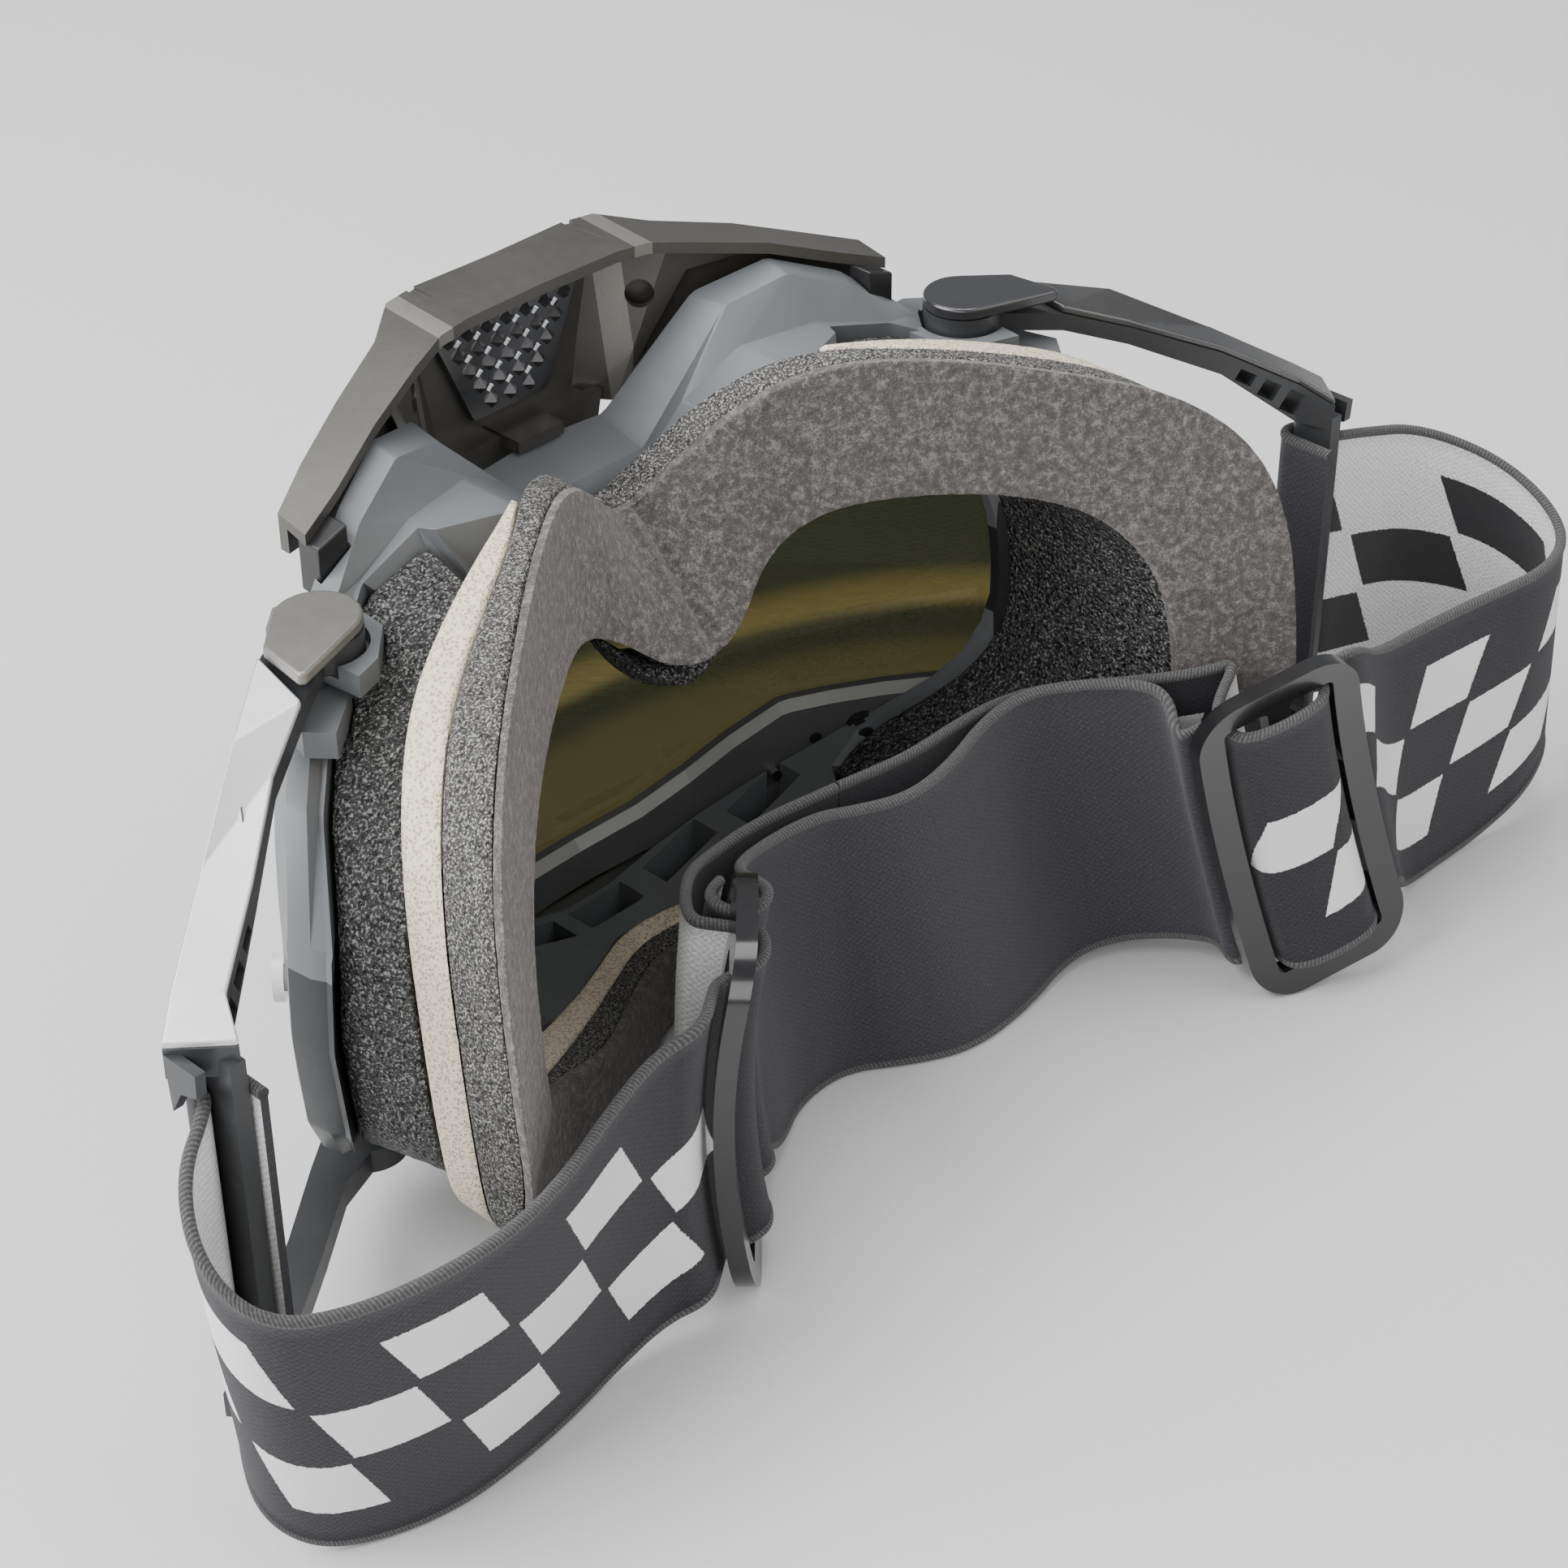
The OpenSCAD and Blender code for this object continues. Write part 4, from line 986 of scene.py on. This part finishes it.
@dataclass
class HeadStrap:
    """The three runs of the head strap, its end loops and the two sliders."""

    CLEAR = 3.1

    finishes: Finishes
    left: Slider = Slider(foot=(-30, -41, 0), turn=44, lean=0)
    right: Slider = Slider(foot=(71, -62, 2.2), turn=-23, lean=-16)
    width: float = 45.0
    thick: float = 1.6
    post: tuple[float, float] = (99.2, -33.0)
    post_t: float = 2.2
    post_depth: float = 7.0
    low: float = 19.8
    loop_gap: float = 0.3
    loop_tail: float = 1.0
    hem_r: float = 3.8

    @property
    def sag(self) -> float:
        """How far the bow of a slider draws the strap's edges in."""
        return (self.width / 2) ** 2 / (2 * self.left.bow)

    @property
    def loop_out(self) -> float:
        """The distance of the strap from the middle of its post."""
        return self.post_t / 2 + self.loop_gap + self.thick / 2

    @property
    def post_front(self) -> float:
        """The middle of the post's round front."""
        return self.post[1] + self.post_depth / 2 - self.post_t / 2

    def on(self, slider: Slider, along: float, out: float) -> Key:
        """A key where the strap passes a slider."""
        up = slider.bar + slider.play / 2
        bow = slider.at(0, -self.sag, 0) - slider.at(0, 0, 0)
        bow.z = 0
        return Key(slider.at(along, out, up), slider.at(along, out, up + self.width), bow)

    def hem(self, slider: Slider, side: int, turns: Sequence[int]) -> list[Key]:
        """Keys of the hem round a slider's outer bar."""
        middle = (slider.width - slider.bar) / 2
        return [self.on(slider, side * middle + self.hem_r * math.cos(math.radians(a)),
                        self.sag + self.hem_r * math.sin(math.radians(a))) for a in turns]

    def first(self, side: Side) -> list[Key]:
        """The first keys of a run, straight back from its post."""
        x = side.value * (self.post[0] + self.loop_out)
        end = self.post_front - self.loop_tail - 0.1
        back, drop = (1.5, 1.0) if side is Side.LEFT else (2.5, 0.0)
        return keys(*((x, y, low, x, y, low + self.width)
                      for y, low in ((end, self.low), (end - back, self.low - drop))))

    def left_keys(self) -> list[Key]:
        """The left run, from its post to the middle of the brow."""
        s, behind, over = self.left, self.sag - self.CLEAR, self.sag + self.CLEAR
        return self.first(Side.LEFT) + keys(
            (-104.5, -36, 14, -109.5, -38, 60.5), (-105.5, -39.5, 6.5, -113, -45, 54),
            (-101.5, -43.5, 1, -109.5, -51, 47.5), (-94, -47.5, 0, -100, -54, 45),
            (-85, -50, 0, -88, -56.5, 45), (-76, -50, 0, -78, -56.5, 45),
            (-66, -49, 0, -68, -54, 45), (-57, -47.5, 0.5, -57.5, -50, 45.5),
            (-48, -47.5, 2.5, -49, -48.5, 47.5)) + [
            self.on(s, -16, behind - 1), self.on(s, -10, behind), self.on(s, -7.2, behind + 0.5),
            self.on(s, -3.6, over - 0.2), self.on(s, 0.3, over + 0.3), self.on(s, 3.2, over - 0.7),
            self.on(s, 4.2, behind + 0.6), self.on(s, 5.2, behind - 3.4)] + keys(
            (-20, -24, 2, -20, -24.4, 46.5), (-12, -21.5, 0, -12.5, -22, 45),
            (-4, -21.5, 0, -4, -21.5, 45), (9, -24, 0, 9, -23.5, 45))

    def right_keys(self) -> list[Key]:
        """The right run, from its post round the loop and behind the middle run."""
        s, behind, over = self.right, self.sag - self.CLEAR, self.sag + self.CLEAR
        return self.first(Side.RIGHT) + keys(
            (109, -34.5, 18, 109.5, -34.5, 62.5), (120, -36, 16, 120, -37, 60),
            (129.5, -43, 14.5, 127.5, -46, 55.5), (133, -52, 12.5, 128.5, -55, 51),
            (130.5, -59.5, 9.5, 125, -61, 48), (122, -62, 5, 118, -62, 46.3),
            (112, -60.5, 1, 108, -59, 45.3), (102, -59.5, 0, 96, -57, 45),
            (92, -60, 1, 84, -56.5, 45.5)) + [
            self.on(s, 15, behind - 0.4), self.on(s, 10.5, behind), self.on(s, 8.4, behind + 1.2),
            self.on(s, 6.6, over - 0.6), self.on(s, 3.4, over + 0.4), self.on(s, -1, over + 0.6),
            self.on(s, -4.8, over), self.on(s, -6.9, over - 1.6), self.on(s, -7, behind - 0.5),
            self.on(s, -4.6, behind - 4), self.on(s, 1, behind - 9)] + keys(
            (68.5, -50, 4, 61, -45.5, 49), (64, -45.2, 2.5, 57, -41.8, 48),
            (58, -38.8, 1, 51.2, -35.6, 47), (50, -33, 0, 46, -29.5, 46),
            (41, -32, 0, 40, -25.5, 45), (31, -33.5, 0, 31, -25, 45), (21, -33, 0, 21, -25.5, 45),
            (9.4, -24, 0, 9.4, -23.5, 45))

    def middle_keys(self) -> list[Key]:
        """The middle run, from round the left slider's outer bar to behind the right slider."""
        return self.hem(self.left, 1, [320, 275, 230, 185, 140, 95, 50]) + keys(
            (-13, -34, 1.5, -15, -28, 46.5), (-4, -28.5, 0, -8, -25.4, 45),
            (6, -28, 0, 2, -26, 45), (14, -34, 0, 7, -29, 45), (22, -38, 0, 14, -32, 45),
            (34, -37.5, 0, 23, -31, 45), (45, -35.3, 1, 34, -28, 46),
            (52, -37.5, 2, 41.5, -28.8, 47), (57, -42.8, 3, 46.6, -33.6, 48),
            (60, -49, 4, 50.6, -39.5, 49), (60.2, -52, 4.2, 51.6, -45, 49.5)) + [
            self.on(self.right, -13, self.sag - 3.9), self.on(self.right, -10.6, self.sag - 3.6),
            self.on(self.right, -8.8, self.sag - 3.3)]

    def loop_keys(self, side: Side) -> list[Key]:
        """The strap's end, folded round the front of its post."""
        x, y, r = self.post[0], self.post_front, self.loop_out
        turns = [math.radians(t) for t in range(0, 181, 20)]
        spots = [(x - r, self.post[1] - self.post_depth / 2 - 1), (x - r, y - 2)]
        spots += [(x - r * math.cos(t), y + r * math.sin(t)) for t in turns]
        spots.append((x + r, y - self.loop_tail))
        return keys(*((side.value * a, b, self.low, side.value * a, b, self.low + self.width)
                      for a, b in spots))

    def runs(self) -> list[Run]:
        """The three runs, with a bend listed for each part."""
        return [
            Run("left", self.left_keys(), cut=0.3636, start=337.5, bends=(
                ("post", Bend("outrigger_left", "goggles",
                              (-0.1035, -0.06, 0.02), (-0.072, -0.06, 0.02))),
                ("slider", Bend("goggles", "slider_left",
                                (-0.064, -0.067, 0.02), (-0.048, -0.067, 0.02))))),
            Run("right", self.right_keys(), cut=0.241, start=64, outward=-1, bends=(
                ("post", Bend("outrigger_right", "goggles",
                              (0.11, -0.056, 0.03), (0.11, -0.0745, 0.03))),
                ("slider", Bend("goggles", "slider_right",
                                (0.110, -0.078, 0.02), (0.094, -0.078, 0.02))))),
            Run("middle", self.middle_keys(), cut=0.55, bends=(
                ("left", Bend("slider_left", "goggles",
                              (-0.012, -0.05, 0.02), (0.010, -0.05, 0.02))),
                ("right", Bend("goggles", "slider_right",
                               (0.026, -0.05, 0.02), (0.050, -0.05, 0.02))))),
        ]

    def build(self) -> None:
        """Makes the runs, the end loops and the sliders."""
        f = self.finishes
        for run in self.runs():
            for (word, bend), part in zip(run.bends, ((0, run.cut), (run.cut, 1))):
                strap = Strap(f"webbing_{run.word}_{word}", run.keys, run.outward, f,
                              patterned=run.word != "middle", start=run.start, part=part)
                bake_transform(stand_for(strap.build(), f"strap_{run.word}", rides=False))
        for side in Side:
            outward = 1 if side is Side.LEFT else -1
            end = Strap(f"webbing_end_{side.word}", self.loop_keys(side), outward, f,
                        patterned=False)
            stand_for(end.build(), f"strap_loop_{side.word}")
            Rounded(f"slider_{side.word}", f.slider, width=1.1, angle=40, segments=4).build()


class Station(NamedTuple):
    """A place along the carrier's wall: across, its lip's height and its foot's height."""

    x: float
    lip: float
    foot: float


class Head(NamedTuple):
    """A round head on the wall: its place, radius, how far it stands out and its material."""

    x: float
    z: float
    r: float
    tall: float
    index: int


@dataclass
class CarrierWall:
    """The bevelled wall of the carrier behind the brow side of the lens, with its fasteners."""

    FRONT = 0.4
    SHELF = 1.8
    BEVEL = 1.4
    LIP_FACE = 2
    SUNK = 0.3
    TAPER = 0.88
    SEGMENTS = 28
    STATIONS = tuple(Station(*row) for row in (
        (0, 19.5, 12.5), (12, 20, 12.5), (20.5, 22.5, 12.5), (28, 26, 12.5), (35.5, 29.3, 13),
        (37, 29.5, 13), (43, 29.5, 13.5), (50, 29.5, 15), (57.5, 29.5, 18), (62, 31.2, 22),
        (66, 33.4, 26.5), (69, 36.2, 31), (71.5, 39.3, 36)))
    HEADS = (
        (Head(47.0, 23.4, 2.6, 1.0, 0), Head(47.0, 23.4, 1.9, 1.6, 0),
         Head(47.0, 23.4, 1.4, 2.6, 1)),
        (Head(34.0, 18.6, 1.0, 1.5, 1),),
        (Head(40.5, 22.6, 1.1, 0.1, 0),))

    finishes: Finishes
    centre_y: float = -72.0
    back_r: float = 92.8
    depth: float = 3.2

    def at(self, x: float, out: float, z: float) -> Vector:
        """A point behind the lens.

        Args:
            x: Place across, in millimetres, on the lens.
            out: Millimetres behind the lens.
            z: Height in millimetres.

        Returns:
            The point in metres.
        """
        turn = math.asin(x / self.back_r)
        r = self.back_r - out
        return Vector((r * math.sin(turn), self.centre_y + r * math.cos(turn) - DATUM_Y, z)) * MM

    def build(self) -> None:
        """Makes the wall and its fasteners."""
        f = self.finishes
        wall = as_object(self.wall(), "carrier_wall", [f.carrier, f.lip])
        bm = bmesh.new()
        for stack in self.HEADS:
            for side in Side:
                for head in stack:
                    self.fastener(bm, head, side)
        bolts = as_object(bm, "carrier_fasteners", [f.black, f.steel])
        for piece, slot in ((wall, "carrier_plastic"), (bolts, "black_plastic")):
            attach(piece, "goggles")

    def wall(self) -> Mesh:
        """The wall, swept along its stations on both sides."""
        right = list(self.STATIONS)
        line = [station._replace(x=-station.x) for station in reversed(right[1:])] + right
        bm = bmesh.new()
        rows = []
        for x, lip, foot in line:
            profile = [(self.FRONT, foot), (self.FRONT, lip), (self.SHELF, lip),
                       (self.depth, lip - self.BEVEL), (self.depth, foot)]
            rows.append([bm.verts.new(self.at(x, out, z)) for out, z in profile])
        count = len(rows[0])
        for a, b in zip(rows, rows[1:]):
            for j in range(count):
                k = (j + 1) % count
                polygon = bm.faces.new((a[j], a[k], b[k], b[j]))
                polygon.material_index = 1 if j == self.LIP_FACE else 0
        bm.faces.new(rows[0])
        bm.faces.new(rows[-1])
        bmesh.ops.recalc_face_normals(bm, faces=bm.faces)
        return bm

    def fastener(self, bm: Mesh, head: Head, side: Side) -> None:
        """Adds a round head that stands on the wall.

        Args:
            bm: The shape that it is added to.
            head: The head.
            side: The side that it is on.
        """
        x = side.value * head.x
        foot = self.at(x, self.depth - self.SUNK, head.z)
        tip = self.at(x, self.depth + head.tall, head.z)
        turn = (tip - foot).to_track_quat("Z", "Y").to_matrix().to_4x4()
        made = bmesh.ops.create_cone(bm, cap_ends=True, segments=self.SEGMENTS,
                                     radius1=head.r * MM, radius2=head.r * self.TAPER * MM,
                                     depth=(tip - foot).length,
                                     matrix=Matrix.Translation((foot + tip) / 2) @ turn)
        for vert in made["verts"]:
            for polygon in vert.link_faces:
                polygon.material_index = head.index


@dataclass
class HardParts:
    """The frame, carrier, guard, lens, posts and outriggers."""

    finishes: Finishes

    def build(self) -> None:
        """Dresses or rounds every rigid node."""
        f = self.finishes
        Rounded("frame", f.frame, width=0.45, angle=24).build()
        Rounded("lens_carrier", f.carrier, width=0.25).build()
        Rounded("nose_guard", f.guard, angle=20).build()
        Rounded("guard_clips", f.black, width=0.3).build()
        dress("guard_mesh", f.studs)
        dress("lens", f.lens)
        dress("tear_off_posts", f.clear)
        dress("carrier_snaps", f.black)
        CarrierWall(f).build()
        dress("pivot_pins", f.steel)
        for side in Side:
            Rounded(f"outrigger_{side.word}", f.arm).build()
            Rounded(f"outrigger_cap_{side.word}", f.cap[side], width=0.5, segments=3).build()
            Rounded(f"arm_cover_{side.word}", f.cover[side], width=0.3, angle=20).build()


class Lamp(NamedTuple):
    """A soft area light: its place and side in metres, its power in watts and its colour."""

    name: str
    place: Triple
    size: float
    power: float
    colour: Triple


@dataclass
class Studio:
    """The floor, the lights and the camera, whose place and axes were solved from the photo."""

    LAMPS = (
        Lamp("window", place=(-0.75, 0.35, 0.75), size=0.9, power=26, colour=(0.97, 0.98, 1.0)),
        Lamp("fill", place=(0.5, -0.9, 0.9), size=1.2, power=9, colour=(1.0, 0.99, 0.97)),
        Lamp("left", place=(-0.85, -0.55, 0.5), size=0.7, power=6, colour=(1.0, 0.99, 0.98)),
        Lamp("top", place=(0.15, 0.25, 1.1), size=0.8, power=9, colour=(1, 1, 1)))
    AIM = (0, -0.03, 0.04)
    SKY = (0.85, 0.87, 0.9)
    SKY_STRENGTH = 0.35
    SENSOR = 36.0
    FLOOR_HALF = 4.0

    eye: Triple = (-0.26188, -0.29360, 0.30195)
    right: Triple = (0.692315, -0.721579, -0.004790)
    up: Triple = (0.414435, 0.392176, 0.821244)
    back: Triple = (-0.590714, -0.570545, 0.570557)
    focal: float = 78.0

    def build(self) -> None:
        """Makes the studio."""
        self.floor()
        for lamp in self.LAMPS:
            self.light(lamp)
        world = bpy.data.worlds.new("studio")
        world.use_nodes = True
        sky = world.node_tree.nodes["Background"].inputs
        sky["Color"].default_value = (*self.SKY, 1)
        sky["Strength"].default_value = self.SKY_STRENGTH
        bpy.context.scene.world = world
        self.camera()

    def camera(self) -> None:
        """Sets up the photo's view."""
        lens = bpy.data.cameras.new("view")
        lens.lens = self.focal
        lens.sensor_width = self.SENSOR
        lens.clip_start = 0.01
        camera = bpy.data.objects.new("view", lens)
        turn = Matrix((self.right, self.up, self.back)).transposed().to_4x4()
        camera.matrix_world = Matrix.Translation(self.eye) @ turn
        bpy.context.scene.collection.objects.link(camera)
        bpy.context.scene.camera = camera

    def floor(self) -> None:
        """The plain pale floor, with a very faint grain."""
        bm = bmesh.new()
        bmesh.ops.create_grid(bm, x_segments=1, y_segments=1, size=self.FLOOR_HALF)
        s = Shader("floor")
        speck = s.noise(s.place(), 900, 2)
        s.set(Base_Color=s.mix(speck, (0.60, 0.60, 0.595), (0.64, 0.64, 0.635)), Roughness=0.75,
              Specular_IOR_Level=0.2)
        as_object(bm, "floor", [s.material])

    def light(self, lamp: Lamp) -> None:
        """Adds a light that looks at the goggles."""
        data = bpy.data.lights.new(lamp.name, "AREA")
        data.size = lamp.size
        data.energy = lamp.power
        data.color = lamp.colour
        light = bpy.data.objects.new(lamp.name, data)
        aim = Vector(self.AIM) - Vector(lamp.place)
        turn = aim.to_track_quat("-Z", "Y").to_matrix().to_4x4()
        light.matrix_world = Matrix.Translation(lamp.place) @ turn
        bpy.context.scene.collection.objects.link(light)


def main() -> None:
    """Builds the studio and every piece."""
    logging.basicConfig(level=logging.INFO, format="%(name)s: %(message)s")
    Studio().build()
    finishes = Finishes()
    HardParts(finishes).build()
    FaceFoam(finishes).build()
    HeadStrap(finishes).build()


if __name__ == "__main__":
    main()
